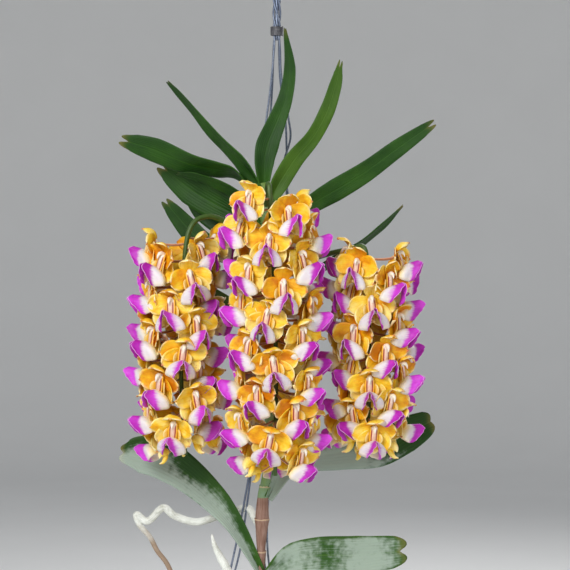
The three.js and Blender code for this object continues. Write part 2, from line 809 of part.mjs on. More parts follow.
const stem = place("stem", cutClear(stemSolid(), []), LOOKS.stem);
const stemRoom = stemSolid(GAP);
const wireRooms = WIRE_ROUTES.map((wire) => wireSolid(wire, GAP));
const rootRooms = ROOTS.map((root) => rootSolid(root, GAP));

place("hook", hookSolid(), LOOKS.wire);
place("tie_band", tieSolid(), LOOKS.wire);
for (const wire of WIRE_ROUTES) place(wire.name, wireSolid(wire), LOOKS.wire);

for (const raceme of RACEMES)
  place(raceme.name, cutClear(racemeSolid(raceme), [stemRoom]), LOOKS.raceme);

const leafRooms = [stemRoom, ...wireRooms, ...RACEMES.map((raceme) => spineSolid(raceme, GAP))];
for (const leaf of LEAVES) {
  place(leaf.name, cutClear(leafSolid(leaf), leafRooms), LOOKS.leaf);
  leafRooms.push(leafSolid(leaf, GAP));
}

ROOTS.forEach((root, i) => {
  const rooms = [stemRoom, ...wireRooms, ...leafRooms, ...rootRooms.slice(0, i)];
  place(root.name, cutClear(rootSolid(root), rooms), LOOKS.root);
});

buildSlats();
place("bark_medium", mediumSolid([stemRoom, ...rootRooms]), LOOKS.medium);

export default plant;
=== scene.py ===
"""Dresses the hanging aerides orchid: racemes, leaves, stem, roots, wires and slatted basket."""

import logging
import math
from dataclasses import dataclass, field
from enum import Enum
from typing import Callable, Iterable, Sequence

import bmesh
import bpy
import numpy as np
from mathutils import Matrix, Vector


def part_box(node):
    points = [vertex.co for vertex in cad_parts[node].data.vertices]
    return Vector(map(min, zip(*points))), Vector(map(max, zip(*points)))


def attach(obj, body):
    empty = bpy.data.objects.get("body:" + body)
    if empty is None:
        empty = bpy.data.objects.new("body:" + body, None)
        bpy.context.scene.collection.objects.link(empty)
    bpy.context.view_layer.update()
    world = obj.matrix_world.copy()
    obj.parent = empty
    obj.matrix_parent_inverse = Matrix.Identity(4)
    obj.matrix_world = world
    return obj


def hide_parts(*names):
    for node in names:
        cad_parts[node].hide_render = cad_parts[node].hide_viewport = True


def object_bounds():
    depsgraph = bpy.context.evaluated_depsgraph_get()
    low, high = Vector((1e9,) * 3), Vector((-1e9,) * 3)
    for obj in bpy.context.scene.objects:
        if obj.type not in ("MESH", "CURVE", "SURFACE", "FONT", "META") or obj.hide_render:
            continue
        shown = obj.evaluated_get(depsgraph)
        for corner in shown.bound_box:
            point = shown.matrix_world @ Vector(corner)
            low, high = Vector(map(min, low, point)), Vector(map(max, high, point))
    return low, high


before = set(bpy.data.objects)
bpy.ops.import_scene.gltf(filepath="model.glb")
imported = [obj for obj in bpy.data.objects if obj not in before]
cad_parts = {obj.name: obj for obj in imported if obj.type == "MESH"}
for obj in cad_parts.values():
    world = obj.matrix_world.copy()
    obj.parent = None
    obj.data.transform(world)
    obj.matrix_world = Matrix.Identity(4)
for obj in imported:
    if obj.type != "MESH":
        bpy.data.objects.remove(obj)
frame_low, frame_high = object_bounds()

LOG = logging.getLogger("aerides")
MM = 0.001
MARK = "mark"  # the attribute that holds along, across and tint at each vertex

Array = np.ndarray
Colour = tuple[float, float, float]


# Shading


class Value:
    """A number socket that takes part in sums; each sum adds its Math node."""

    def __init__(self, shading: "Shading", socket: bpy.types.NodeSocket) -> None:
        """Holds the socket and the shading that new nodes go into."""
        self.shading = shading
        self.socket = socket

    def _sum(self, operation: str, *terms: "Value | float") -> "Value":
        """Adds one Math node over the terms."""
        return self.shading.number(
            "ShaderNodeMath", {"operation": operation}, dict(enumerate(terms))
        )

    def __add__(self, other: "Value | float") -> "Value":
        """The sum of the two."""
        return self._sum("ADD", self, other)

    def __radd__(self, other: float) -> "Value":
        """The sum, with the plain number first."""
        return self._sum("ADD", other, self)

    def __sub__(self, other: "Value | float") -> "Value":
        """The difference of the two."""
        return self._sum("SUBTRACT", self, other)

    def __rsub__(self, other: float) -> "Value":
        """The difference, with the plain number first."""
        return self._sum("SUBTRACT", other, self)

    def __mul__(self, other: "Value | float") -> "Value":
        """The product of the two."""
        return self._sum("MULTIPLY", self, other)

    def __rmul__(self, other: float) -> "Value":
        """The product, with the plain number first."""
        return self._sum("MULTIPLY", other, self)

    def __pow__(self, other: float) -> "Value":
        """The value raised to a power."""
        return self._sum("POWER", self, other)

    def __abs__(self) -> "Value":
        """The size of the value without its sign."""
        return self._sum("ABSOLUTE", self)

    def wave(self) -> "Value":
        """The sine of the value."""
        return self._sum("SINE", self)

    def ramp(self, start: float, end: float) -> "Value":
        """Runs smoothly from 0 at start to 1 at end, which may be the lower one."""
        low, high, first, last = (start, end, 0.0, 1.0) if start < end else (end, start, 1.0, 0.0)
        return self.shading.number(
            "ShaderNodeMapRange",
            {"interpolation_type": "SMOOTHSTEP"},
            {"Value": self, "From Min": low, "From Max": high, "To Min": first, "To Max": last},
        )


class Shading:
    """One material's node tree round its Principled shader."""

    def __init__(self, name: str) -> None:
        """Makes the material, which starts with its shader and output.

        Args:
            name: The material's name.
        """
        self.material = bpy.data.materials.new(name)
        self.material.use_nodes = True
        self.tree = self.material.node_tree
        self.shader = self.tree.nodes["Principled BSDF"]

    def node(
        self, kind: str, settings: dict | None = None, sockets: dict | None = None
    ) -> bpy.types.Node:
        """Adds a node.

        Args:
            kind: The node's Blender type.
            settings: Properties that are set first; "stops" fills a colour ramp.
            sockets: Values or links by input name or number.

        Returns:
            The new node.
        """
        made = self.tree.nodes.new(kind)
        for key, value in (settings or {}).items():
            if key == "stops":
                self._fill_ramp(made.color_ramp, value)
            else:
                setattr(made, key, value)
        for key, value in (sockets or {}).items():
            self.feed(made.inputs[key], value)
        return made

    @staticmethod
    def _fill_ramp(ramp: bpy.types.ColorRamp, stops: Sequence[tuple[float, Colour]]) -> None:
        """Gives a colour ramp its stops.

        Args:
            ramp: The ramp to fill.
            stops: Its places from 0 to 1, each with a colour.
        """
        while len(ramp.elements) < len(stops):
            ramp.elements.new(1.0)
        for element, (place, colour) in zip(ramp.elements, stops):
            element.position = place
            element.color = (*colour, 1.0)

    def feed(self, socket: bpy.types.NodeSocket, value: object) -> None:
        """Links or sets one input.

        Args:
            socket: The input.
            value: A value, an output socket, or a plain number or colour.
        """
        if isinstance(value, Value):
            self.tree.links.new(value.socket, socket)
        elif isinstance(value, bpy.types.NodeSocket):
            self.tree.links.new(value, socket)
        elif isinstance(value, tuple) and socket.type == "RGBA":
            socket.default_value = (*value[:3], 1.0)
        else:
            socket.default_value = value

    def number(self, kind: str, settings: dict, sockets: dict) -> Value:
        """Adds a node and gives its first output as a number."""
        return Value(self, self.node(kind, settings, sockets).outputs[0])

    def mark(self) -> tuple[Value, Value, Value]:
        """The piece's own along, across and tint.

        Returns:
            The three numbers that the piece's vertices carry.
        """
        source = self.node("ShaderNodeAttribute", {"attribute_name": MARK})
        parts = self.node("ShaderNodeSeparateXYZ", None, {0: source.outputs["Vector"]})
        return tuple(Value(self, parts.outputs[i]) for i in range(3))

    def place(self) -> bpy.types.NodeSocket:
        """The point on the piece, in metres."""
        return self.node("ShaderNodeTexCoord").outputs["Object"]

    def stretched(self, scale: Colour) -> bpy.types.NodeSocket:
        """The point on the piece, scaled along each axis.

        Args:
            scale: How much along X, Y and Z.

        Returns:
            The scaled point.
        """
        made = self.node("ShaderNodeVectorMath", {"operation": "MULTIPLY"}, {0: self.place()})
        made.inputs[1].default_value = scale
        return made.outputs[0]

    def flow(self, along: Value, across: Value, tint: Value) -> bpy.types.NodeSocket:
        """A vector made of the given numbers, for noise that follows a piece."""
        return self.node("ShaderNodeCombineXYZ", None, {0: along, 1: across, 2: tint}).outputs[0]

    def noise(
        self, scale: float, detail: float = 3.0, vector: bpy.types.NodeSocket | None = None
    ) -> Value:
        """Soft noise from 0 to 1.

        Args:
            scale: How fine it is.
            detail: How many finer layers it has.
            vector: Where it is read; the point on the piece by default.

        Returns:
            The noise.
        """
        source = vector if vector is not None else self.place()
        return self.number(
            "ShaderNodeTexNoise", {}, {"Vector": source, "Scale": scale, "Detail": detail}
        )

    def blend(self, share: Value | float, low: object, high: object) -> bpy.types.NodeSocket:
        """Mixes two colours by a share from 0 to 1.

        Args:
            share: How much of the second there is.
            low: The first colour, plain or linked.
            high: The second colour, plain or linked.

        Returns:
            The mixed colour.
        """
        made = self.node("ShaderNodeMix", {"data_type": "RGBA"})
        for index, value in ((0, share), (6, low), (7, high)):
            self.feed(made.inputs[index], value)
        return made.outputs[2]

    def ramp(self, share: Value, stops: Sequence[tuple[float, Colour]]) -> bpy.types.NodeSocket:
        """Colours along a ramp."""
        return self.node("ShaderNodeValToRGB", {"stops": stops}, {0: share}).outputs[0]

    def bump(self, height: Value, depth_mm: float, strength: float = 1.0) -> None:
        """Raises the surface by a height from 0 to 1 that is depth_mm deep.

        Args:
            height: The height over the surface.
            depth_mm: How deep a height of 1 is.
            strength: How strongly it shows.
        """
        made = self.node(
            "ShaderNodeBump", None, {"Height": height, "Distance": depth_mm * MM, "Strength": strength}
        )
        self.feed(self.shader.inputs["Normal"], made.outputs[0])

    def finish(self, colour: object, roughness: object, **sockets: object) -> bpy.types.Material:
        """Feeds the shader and returns the material.

        Args:
            colour: The base colour, plain or linked.
            roughness: The roughness, plain or linked.
            sockets: Other inputs by name, with _ for a space.

        Returns:
            The finished material.
        """
        self.feed(self.shader.inputs["Base Color"], colour)
        self.feed(self.shader.inputs["Roughness"], roughness)
        for key, value in sockets.items():
            self.feed(self.shader.inputs[key.replace("_", " ")], value)
        return self.material


# Finishes


@dataclass(frozen=True)
class PetalFinish:
    """Waxy orange-yellow sepals and petals, pale on the lower sepals, with pink-flushed points,
    painted shade towards their bases, and cream tips and edges that are partly their own pale margin
    and partly a painted highlight.
    """

    deep: Colour = (0.64, 0.20, 0.0)
    body: Colour = (0.86, 0.42, 0.003)
    gold: Colour = (0.92, 0.60, 0.03)
    pale: Colour = (0.94, 0.73, 0.20)
    cream: Colour = (0.95, 0.82, 0.50)
    blush: Colour = (0.52, 0.06, 0.14)

    def material(self) -> bpy.types.Material:
        """Builds the petal material.

        Returns:
            The material.
        """
        s = Shading("petal")
        along, across, tint = s.mark()
        side = abs(across)
        cloud = s.noise(110.0, 3.0)
        grain = s.noise(420.0, 3.0)
        # Painted shade: the along term darkens each sepal and petal towards its base, down the ramp
        # towards the deep orange; tint and cloud vary the tone at random.
        lightness = tint + 1.30 * (cloud - 0.5) + 0.30 * (along - 0.5) + 0.10 * side
        colour = s.ramp(
            lightness, [(0.16, self.deep), (0.40, self.body), (0.62, self.gold), (0.92, self.pale)]
        )
        veins = (across * 15.0 + grain * 2.0).wave().ramp(0.5, 1.0) * along.ramp(1.0, 0.3)
        colour = s.blend(veins * 0.22, colour, self.deep)
        freckles = grain.ramp(0.60, 0.70) * along.ramp(0.25, 0.75) * tint.ramp(0.45, 0.75)
        colour = s.blend(freckles * 0.45, colour, self.blush)
        # Cream at the tips and outer edges: partly their own pale margin, partly a painted highlight.
        rim = (along + side * 0.55 + 0.3 * (grain - 0.5)).ramp(1.02, 1.40)
        colour = s.blend(rim * 0.75, colour, self.cream)
        point = along.ramp(0.78, 0.92) * side.ramp(0.60, 0.15) * along.ramp(1.0, 0.96)
        colour = s.blend(point * cloud.ramp(0.30, 0.50) * 0.85, colour, self.blush)
        s.bump((across * 15.0).wave() * 0.5 + grain, 0.14, 0.6)
        return s.finish(
            colour, 0.42 + 0.2 * grain, Subsurface_Weight=0.08, Subsurface_Scale=0.0015,
            Specular_IOR_Level=0.35,
        )


@dataclass(frozen=True)
class LipFinish:
    """A lip whose outer part and ridge are magenta, with a white flank and a cream base."""

    throat: Colour = (0.88, 0.60, 0.12)
    cream: Colour = (0.88, 0.76, 0.46)
    white: Colour = (0.72, 0.66, 0.67)
    magenta: Colour = (0.40, 0.008, 0.38)
    bright: Colour = (0.60, 0.045, 0.62)
    fringe: Colour = (0.82, 0.55, 0.82)

    def material(self) -> bpy.types.Material:
        """Builds the lip material.

        Returns:
            The material.
        """
        s = Shading("lip")
        along, across, tint = s.mark()
        side = abs(across)
        cloud = s.noise(170.0, 3.0)
        grain = s.noise(700.0, 2.0)
        streak = s.noise(1.0, 3.0, s.flow(along * 5.0, across * 22.0, tint * 40.0))
        edge = along - 0.14 * side + 0.14 * (cloud - 0.5) + 0.10 * (tint - 0.5) + 0.16 * (streak - 0.5)
        painted = edge.ramp(0.40, 0.58)
        colour = s.blend((cloud * 0.7 + tint * 0.4).ramp(0.3, 0.8), self.magenta, self.bright)
        pale = s.ramp(
            along + 0.20 * (cloud - 0.5), [(0.02, self.throat), (0.20, self.cream), (0.40, self.white)]
        )
        pale = s.blend(side.ramp(0.72, 1.0) * 0.4, pale, self.cream)
        colour = s.blend(painted, pale, colour)
        veins = streak.ramp(0.48, 0.70) * edge.ramp(0.45, 0.70)
        colour = s.blend(veins * 0.45, colour, self.magenta)
        colour = s.blend(along.ramp(0.965, 0.997) * 0.6, colour, self.fringe)
        s.bump((across * 30.0 + cloud * 4.0).wave() * 0.4 + grain, 0.12, 0.6)
        return s.finish(
            colour, 0.5, Subsurface_Weight=0.08, Subsurface_Scale=0.0015, Specular_IOR_Level=0.35
        )


@dataclass(frozen=True)
class CentreFinish:
    """The white column, the pink strip between two red-brown lines, and yellow side lobes with a
    painted cream highlight.
    """

    white: Colour = (0.84, 0.78, 0.68)
    pink: Colour = (0.74, 0.47, 0.36)
    yellow: Colour = (0.80, 0.42, 0.015)
    cream: Colour = (0.86, 0.66, 0.26)
    line: Colour = (0.34, 0.05, 0.015)

    def material(self) -> bpy.types.Material:
        """Builds the material; tint says which of the pieces a point is on.

        Returns:
            The material.
        """
        s = Shading("flower_centre")
        along, across, part = s.mark()
        side = abs(across)
        grain = s.noise(500.0, 3.0)
        strip = s.blend((along + 0.7 * (grain - 0.5)).ramp(-0.2, 0.7), self.white, self.pink)
        lines = side.ramp(0.34, 0.44) * side.ramp(0.76, 0.66) * along.ramp(0.05, 0.25)
        strip = s.blend(side.ramp(0.66, 0.78), strip, self.yellow)
        strip = s.blend(lines, strip, self.line)
        # Painted highlight: the side lobes, and the spur that shares their colour, run from yellow to
        # cream towards their far ends.
        lobe = s.blend((along + 0.5 * (grain - 0.5)).ramp(0.35, 1.0), self.yellow, self.cream)
        colour = s.blend(part.ramp(0.2, 0.4), self.white, strip)
        colour = s.blend(part.ramp(0.75, 0.85), colour, lobe)
        s.bump(grain, 0.1, 0.5)
        return s.finish(colour, 0.4, Subsurface_Weight=0.10, Subsurface_Scale=0.0015)


@dataclass(frozen=True)
class StalkFinish:
    """Green rachis, and pedicels that run from green-brown to pinkish cream."""

    green: Colour = (0.03, 0.08, 0.01)
    olive: Colour = (0.08, 0.14, 0.02)
    brown: Colour = (0.40, 0.13, 0.045)
    pink: Colour = (0.74, 0.42, 0.27)

    def material(self) -> bpy.types.Material:
        """Builds the stalk material.

        Returns:
            The material.
        """
        s = Shading("stalk")
        along, across, tint = s.mark()
        grain = s.noise(420.0, 4.0)
        stripe = (across * 3.0 * math.pi).wave() * 0.5 + 0.5
        pedicel = s.blend((stripe * 0.7 + grain * 0.5).ramp(0.3, 0.9), self.brown, self.pink)
        pedicel = s.blend(along.ramp(0.18, 0.0), pedicel, self.olive)
        colour = s.blend(tint.ramp(0.4, 0.6), s.blend(grain, self.green, self.olive), pedicel)
        s.bump(stripe * 0.5 + grain, 0.15, 0.5)
        return s.finish(colour, 0.5, Subsurface_Weight=0.06, Subsurface_Scale=0.0015)


class Film(Enum):
    """How much pale mineral film the watering has left on a leaf."""

    NONE = 0.0
    CRUSTED = 0.62


@dataclass(frozen=True)
class LeafFinish:
    """A leathery strap leaf: parallel veins, a pale keel, a satin coat and mineral film."""

    name: str
    green: Colour
    young: Colour
    film: Film = Film.NONE
    lean: float = 0.0  # how much the film favours one half, by the sign of across
    fade: float = 0.0  # how much it thins out towards the tip
    crust: Colour = (0.46, 0.54, 0.48)
    worn: Colour = (0.28, 0.20, 0.06)
    bare: float = 0.22  # how much of the noise stays below the film

    def material(self) -> bpy.types.Material:
        """Builds the leaf material.

        Returns:
            The material.
        """
        s = Shading(self.name)
        along, across, tint = s.mark()
        side = abs(across)
        cloud = s.noise(38.0, 5.0)
        drift = s.noise(9.0, 2.0)
        streak = s.noise(1.0, 4.0, s.flow(along * 6.0, across * 26.0, tint * 9.0))
        veins = (across * 38.0 + streak * 3.0).wave()
        green = s.blend(cloud.ramp(0.35, 0.75) * 0.6, self.green, self.young)
        green = s.blend(along.ramp(0.22, 0.0) * 0.8, green, self.young)
        green = s.blend(veins.ramp(0.3, 1.0) * 0.18, green, self.young)
        green = s.blend(side.ramp(0.07, 0.015) * 0.45, green, self.young)
        green = s.blend(side.ramp(0.94, 1.0) * 0.5, green, self.young)
        brown = along.ramp(0.95, 1.0) * cloud.ramp(0.35, 0.65)
        green = s.blend(brown * 0.6, green, self.worn)
        roughness = 0.40 + 0.22 * cloud
        height = veins * 0.35 + streak * 0.6 + side.ramp(0.0, 0.09) * 1.4
        if self.film is not Film.NONE:
            speckle = s.noise(240.0, 5.0)
            lie = drift * 0.50 + cloud * 0.65 + speckle * 0.35 + (streak - 0.5) * 0.22
            lie = lie - side.ramp(0.78, 1.0) * 0.18 - along.ramp(0.90, 1.0) * 0.15
            lie = lie + across * self.lean - (along - 0.5) * self.fade
            start, full = 0.66 - 0.42 * self.film.value, 0.86 - 0.36 * self.film.value
            crust = (lie - self.bare).ramp(start, full) * self.film.value
            green = s.blend(crust, green, self.crust)
            roughness = roughness + crust * 0.4
            height = height + speckle * crust * 0.8
        s.bump(height, 0.22, 0.7)
        return s.finish(
            green, roughness, Coat_Weight=0.03, Coat_Roughness=0.35, Specular_IOR_Level=0.2
        )


@dataclass(frozen=True)
class StemFinish:
    """Dry brown sheaths with cream rims; the upper sheaths are still green."""

    green: Colour = (0.13, 0.22, 0.035)
    blue_green: Colour = (0.17, 0.27, 0.17)
    brown: Colour = (0.16, 0.07, 0.04)
    grey: Colour = (0.32, 0.20, 0.155)
    rim: Colour = (0.60, 0.43, 0.27)

    def material(self) -> bpy.types.Material:
        """Builds the stem material: along is dryness, across the angle, tint the sheath's height.

        Returns:
            The material.
        """
        s = Shading("stem")
        dry, across, sheath = s.mark()
        fibre = s.noise(1.0, 4.0, s.stretched((900.0, 900.0, 60.0)))
        cloud = s.noise(70.0, 4.0)
        brown = s.blend((fibre * 0.6 + cloud * 0.5).ramp(0.35, 0.8), self.brown, self.grey)
        green = s.blend(cloud.ramp(0.35, 0.7), self.green, self.blue_green)
        colour = s.blend((dry + 0.2 * (cloud - 0.5)).ramp(0.4, 0.6), green, brown)
        colour = s.blend(sheath.ramp(0.93, 0.985) * 0.8, colour, self.rim)
        s.bump(fibre + cloud * 0.5, 0.35, 0.8)
        return s.finish(colour, 0.6 + 0.2 * cloud)


@dataclass(frozen=True)
class RootFinish:
    """Silvery root bark, wrinkled lengthwise, stained grey-brown towards the tip."""

    silver: Colour = (0.78, 0.80, 0.74)
    shade: Colour = (0.46, 0.47, 0.40)
    stain: Colour = (0.30, 0.21, 0.14)

    def material(self) -> bpy.types.Material:
        """Builds the root material.

        Returns:
            The material.
        """
        s = Shading("root")
        along, across, tint = s.mark()
        cloud = s.noise(90.0, 5.0)
        wrinkle = s.noise(1.0, 4.0, s.flow(along * 60.0, across * 9.0, tint))
        colour = s.blend((cloud * 0.6 + wrinkle * 0.4).ramp(0.42, 0.7), self.silver, self.shade)
        colour = s.blend((along + 0.25 * (cloud - 0.5)).ramp(0.62, 0.8) * tint, colour, self.stain)
        s.bump(wrinkle + cloud, 0.4, 0.8)
        return s.finish(colour, 0.78)


@dataclass(frozen=True)
class WireFinish:
    """Dull galvanised steel, blue-grey with zinc bloom."""

    name: str = "galvanised_wire"
    steel: Colour = (0.14, 0.17, 0.24)
    bloom: Colour = (0.28, 0.32, 0.40)
    metallic: float = 0.7

    def material(self) -> bpy.types.Material:
        """Builds the wire material.

        Returns:
            The material.
        """
        s = Shading(self.name)
        bloom = s.noise(600.0, 4.0)
        patch = s.noise(40.0, 3.0)
        colour = s.blend((bloom * 0.5 + patch * 0.5).ramp(0.42, 0.62), self.steel, self.bloom)
        s.bump(bloom, 0.05, 0.6)
        return s.finish(colour, 0.34 + 0.25 * patch, Metallic=self.metallic)


@dataclass(frozen=True)
class TeakFinish:
    """Weathered teak with its grain along one axis."""

    axis: int
    dark: Colour = (0.105, 0.045, 0.018)
    body: Colour = (0.26, 0.12, 0.05)
    weathered: Colour = (0.34, 0.23, 0.15)

    def material(self) -> bpy.types.Material:
        """Builds the teak material for slats along X (0) or Y (1).

        Returns:
            The material.
        """
        s = Shading(f"teak_{'xy'[self.axis]}")
        fine = [1500.0, 1500.0, 1500.0]
        broad = [260.0, 260.0, 260.0]
        fine[self.axis] = 28.0
        broad[self.axis] = 9.0
        pores = s.noise(1.0, 5.0, s.stretched(tuple(fine)))
        figure = s.noise(1.0, 4.0, s.stretched(tuple(broad)))
        damp = s.noise(18.0, 4.0)
        rings = (figure * 24.0).wave() * 0.5 + 0.5
        colour = s.blend((rings * 0.6 + pores * 0.5).ramp(0.2, 0.85), self.dark, self.body)
        colour = s.blend(damp.ramp(0.5, 0.78) * 0.55, colour, self.weathered)
        colour = s.blend(pores.ramp(0.62, 0.75) * 0.7, colour, self.dark)
        s.bump(pores + rings * 0.4, 0.3, 0.9)
        return s.finish(colour, 0.55 + 0.25 * damp)


@dataclass(frozen=True)
class BarkFinish:
    """Coarse orchid bark, from near black to rust, each chip its own tone."""

    dark: Colour = (0.035, 0.02, 0.013)
    rust: Colour = (0.17, 0.075, 0.035)
    dust: Colour = (0.22, 0.15, 0.10)

    def material(self) -> bpy.types.Material:
        """Builds the bark material.

        Returns:
            The material.
        """
        s = Shading("bark")
        along, across, tint = s.mark()
        flake = s.noise(1.0, 6.0, s.stretched((380.0, 380.0, 140.0)))
        crack = s.noise(700.0, 4.0)
        colour = s.blend((flake * 0.7 + tint * 0.5).ramp(0.3, 0.9), self.dark, self.rust)
        colour = s.blend(crack.ramp(0.55, 0.7) * 0.6, colour, self.dust)
        s.bump(flake + crack * 0.5, 0.8, 1.0)
        return s.finish(colour, 0.85)


# Meshes


def wobble(k: float, channel: int) -> float:
    """A steady draw between -1 and 1 for the copy k of a repeat."""
    s = math.sin(k * 12.9898 + channel * 78.233) * 43758.5453
    return (s - math.floor(s)) * 2 - 1


def mix(low: float, high: float, share: float) -> float:
    """The value a share of the way from low to high."""
    return low + (high - low) * share


def ease(share: float | Array) -> float | Array:
    """A share from 0 to 1 that starts and ends gently."""
    return share * share * (3 - 2 * share)


def along_list(values: Sequence[float], t: float | Array) -> Array:
    """Values between the listed ones at t from 0 to 1."""
    return np.interp(t, np.linspace(0, 1, len(values)), values)


class Curve:
    """A smooth curve through points in millimetres, walked evenly from point to point."""

    def __init__(self, points: Iterable[Sequence[float]], taut: bool = False) -> None:
        """Holds the points; a taut curve doesn't swing past points that lie close together.

        Args:
            points: The points that it passes.
            taut: Whether it keeps close to points that lie near each other.
        """
        p = np.array(list(points), float)
        self.points = np.vstack([2 * p[0] - p[1], p, 2 * p[-1] - p[-2]])
        self.spans = len(p) - 1
        steps = np.linalg.norm(np.diff(self.points, axis=0), axis=1)
        self.knots = np.sqrt(steps) if taut else np.ones(len(steps))

    def _span(self, t: float) -> tuple[Array, Array, Array, Array, float]:
        """The two points round t, their tangents, and how far t is between them.

        Args:
            t: A place from 0 to 1.

        Returns:
            Both points, both tangents and the share between them.
        """
        place = min(max(t, 0.0), 1.0) * self.spans
        i = min(int(place), self.spans - 1)
        a, b, c, d = self.points[i : i + 4]
        h, j, k = self.knots[i : i + 3]
        m = ((b - a) / h - (c - a) / (h + j) + (c - b) / j) * j
        n = ((c - b) / j - (d - b) / (j + k) + (d - c) / k) * j
        return b, c, m, n, place - i

    def at(self, t: float) -> Array:
        """The point at t from 0 to 1."""
        b, c, m, n, w = self._span(t)
        return b + m * w + (3 * (c - b) - 2 * m - n) * w**2 + (2 * (b - c) + m + n) * w**3

    def tangent(self, t: float) -> Array:
        """The direction at t, one long.

        Args:
            t: A place from 0 to 1.

        Returns:
            The direction.
        """
        b, c, m, n, w = self._span(t)
        way = m + 2 * (3 * (c - b) - 2 * m - n) * w + 3 * (2 * (b - c) + m + n) * w**2
        return way / np.linalg.norm(way)

    def frames(self, steps: int) -> list[tuple[Array, Array, Array, Array]]:
        """Point, tangent and two cross directions at even steps.

        Args:
            steps: How many steps the curve is walked in.

        Returns:
            One entry for each step, turned as little as the curve allows.
        """
        made, side = [], None
        for i in range(steps + 1):
            t = i / steps
            tangent = self.tangent(t)
            if side is None:
                side = np.cross((0.0, 1.0, 0.0), tangent)
                if np.linalg.norm(side) < 1e-3:
                    side = np.array((1.0, 0.0, 0.0))
            side = side - tangent * side.dot(tangent)
            side = side / np.linalg.norm(side)
            made.append((self.at(t), tangent, side, np.cross(tangent, side)))
        return made


def thick_sheet(surface: Array, thickness: Array) -> tuple[Array, Array]:
    """Closes a grid of points into a thin solid.

    Args:
        surface: Rows by columns of points, the middle of the sheet.
        thickness: The sheet's thickness at each point.

    Returns:
        The points, front sheet first, and the four-sided faces between them.
    """
    rows, columns = surface.shape[:2]
    down, right = np.gradient(surface, axis=0), np.gradient(surface, axis=1)
    normal = np.cross(down, right)
    normal /= np.maximum(np.linalg.norm(normal, axis=2, keepdims=True), 1e-9)
    half = thickness[..., None] / 2
    points = np.concatenate([(surface + normal * half), (surface - normal * half)]).reshape(-1, 3)
    index = np.arange(rows * columns).reshape(rows, columns)
    a, b = index[:-1, :-1].ravel(), index[:-1, 1:].ravel()
    c, d = index[1:, 1:].ravel(), index[1:, :-1].ravel()
    back = rows * columns
    faces = [np.stack([a, d, c, b], 1), np.stack([a, b, c, d], 1) + back]
    rim = np.concatenate([index[0, :-1], index[:-1, -1], index[-1, :0:-1], index[:0:-1, 0]])
    following = np.roll(rim, -1)
    faces.append(np.stack([rim, following, following + back, rim + back], 1))
    return points, np.concatenate(faces)


def bar_mesh(
    curve: Curve, radius: Callable[[float, float], float], sides: int, steps: int
) -> tuple[Array, Array, Array]:
    """A closed bar along a curve.

    Args:
        curve: The bar's middle line.
        radius: The radius at a place along the curve and an angle, both from 0 to 1.
        sides: How many sides the bar has.
        steps: How many steps it has along the curve.

    Returns:
        Points, faces, and along and across at each point.
    """
    points, marks = [], []
    for i, (centre, _, side, up) in enumerate(curve.frames(steps)):
        t = i / steps
        for j in range(sides):
            turn = 2 * math.pi * j / sides
            r = radius(t, j / sides)
            points.append(centre + side * math.cos(turn) * r + up * math.sin(turn) * r)
            marks.append((t, 1 - abs(2 * j / sides - 1)))
    index = np.arange((steps + 1) * sides).reshape(steps + 1, sides)
    a, b = index[:-1], np.roll(index[:-1], -1, axis=1)
    d, c = index[1:], np.roll(index[1:], -1, axis=1)
    faces = np.stack([a.ravel(), b.ravel(), c.ravel(), d.ravel()], 1)
    for end, (row, t) in enumerate(((index[0], 0.0), (index[-1], 1.0))):
        hub = len(points)
        points.append(curve.at(t))
        marks.append((t, 0.5))
        ring = row if end else row[::-1]
        pairs = np.stack([ring, np.roll(ring, -1)], 1)
        caps = np.column_stack([pairs, np.full((len(pairs), 2), hub)])
        faces = np.concatenate([faces, caps])
    return np.array(points), faces, np.array(marks)


class Skin:
    """The faces of one piece, gathered in millimetres, with the marks that its finish reads."""

    def __init__(self) -> None:
        """Starts empty."""
        self.points: list[Array] = []
        self.faces: list[Array] = []
        self.marks: list[Array] = []
        self.count = 0

    def add(self, points: Array, faces: Array, marks: Array) -> None:
        """Adds a closed body; its marks are along, across and tint at each point.

        Args:
            points: Its points, in millimetres.
            faces: Its faces, as indices of the points.
            marks: Along, across and tint at each point.
        """
        self.points.append(points)
        self.faces.append(faces + self.count)
        self.marks.append(marks)
        self.count += len(points)

    def add_sheet(self, surface: Array, thickness: Array, tint: float) -> None:
        """Adds a thin solid whose rows run along it and columns across it.

        Args:
            surface: Rows by columns of points.
            thickness: The thickness at each point.
            tint: The tint that all its points get.
        """
        points, faces = thick_sheet(surface, thickness)
        rows, columns = surface.shape[:2]
        along, across = np.meshgrid(
            np.linspace(0, 1, rows), np.linspace(-1, 1, columns), indexing="ij"
        )
        marks = np.stack([along, across, np.full_like(along, tint)], 2).reshape(-1, 3)
        self.add(points, faces, np.concatenate([marks, marks]))

    def add_bar(self, made: tuple[Array, Array, Array], tint: float) -> None:
        """Adds a bar made by bar_mesh."""
        points, faces, marks = made
        self.add(points, faces, np.column_stack([marks, np.full(len(marks), tint)]))

    def build(
        self, name: str, material: bpy.types.Material, slot: str, stands_for: Sequence[str]
    ) -> bpy.types.Object:
        """Makes the piece, smooth shaded, riding on the root body.

        Args:
            name: The piece's name.
            material: Its finish.
            slot: The record's material slot that it belongs to; not used.
            stands_for: The CAD nodes that it replaces.

        Returns:
            The new object.
        """
        mesh = bpy.data.meshes.new(name)
        points = np.concatenate(self.points) * MM
        corners = [tuple(dict.fromkeys(face)) for face in np.concatenate(self.faces).tolist()]
        mesh.from_pydata(points.tolist(), [], corners)
        mesh.attributes.new(MARK, "FLOAT_VECTOR", "POINT").data.foreach_set(
            "vector", np.concatenate(self.marks).astype(np.float32).ravel()
        )
        mesh.shade_smooth()
        mesh.materials.append(material)
        piece = bpy.data.objects.new(name, mesh)
        return settle(piece, stands_for)


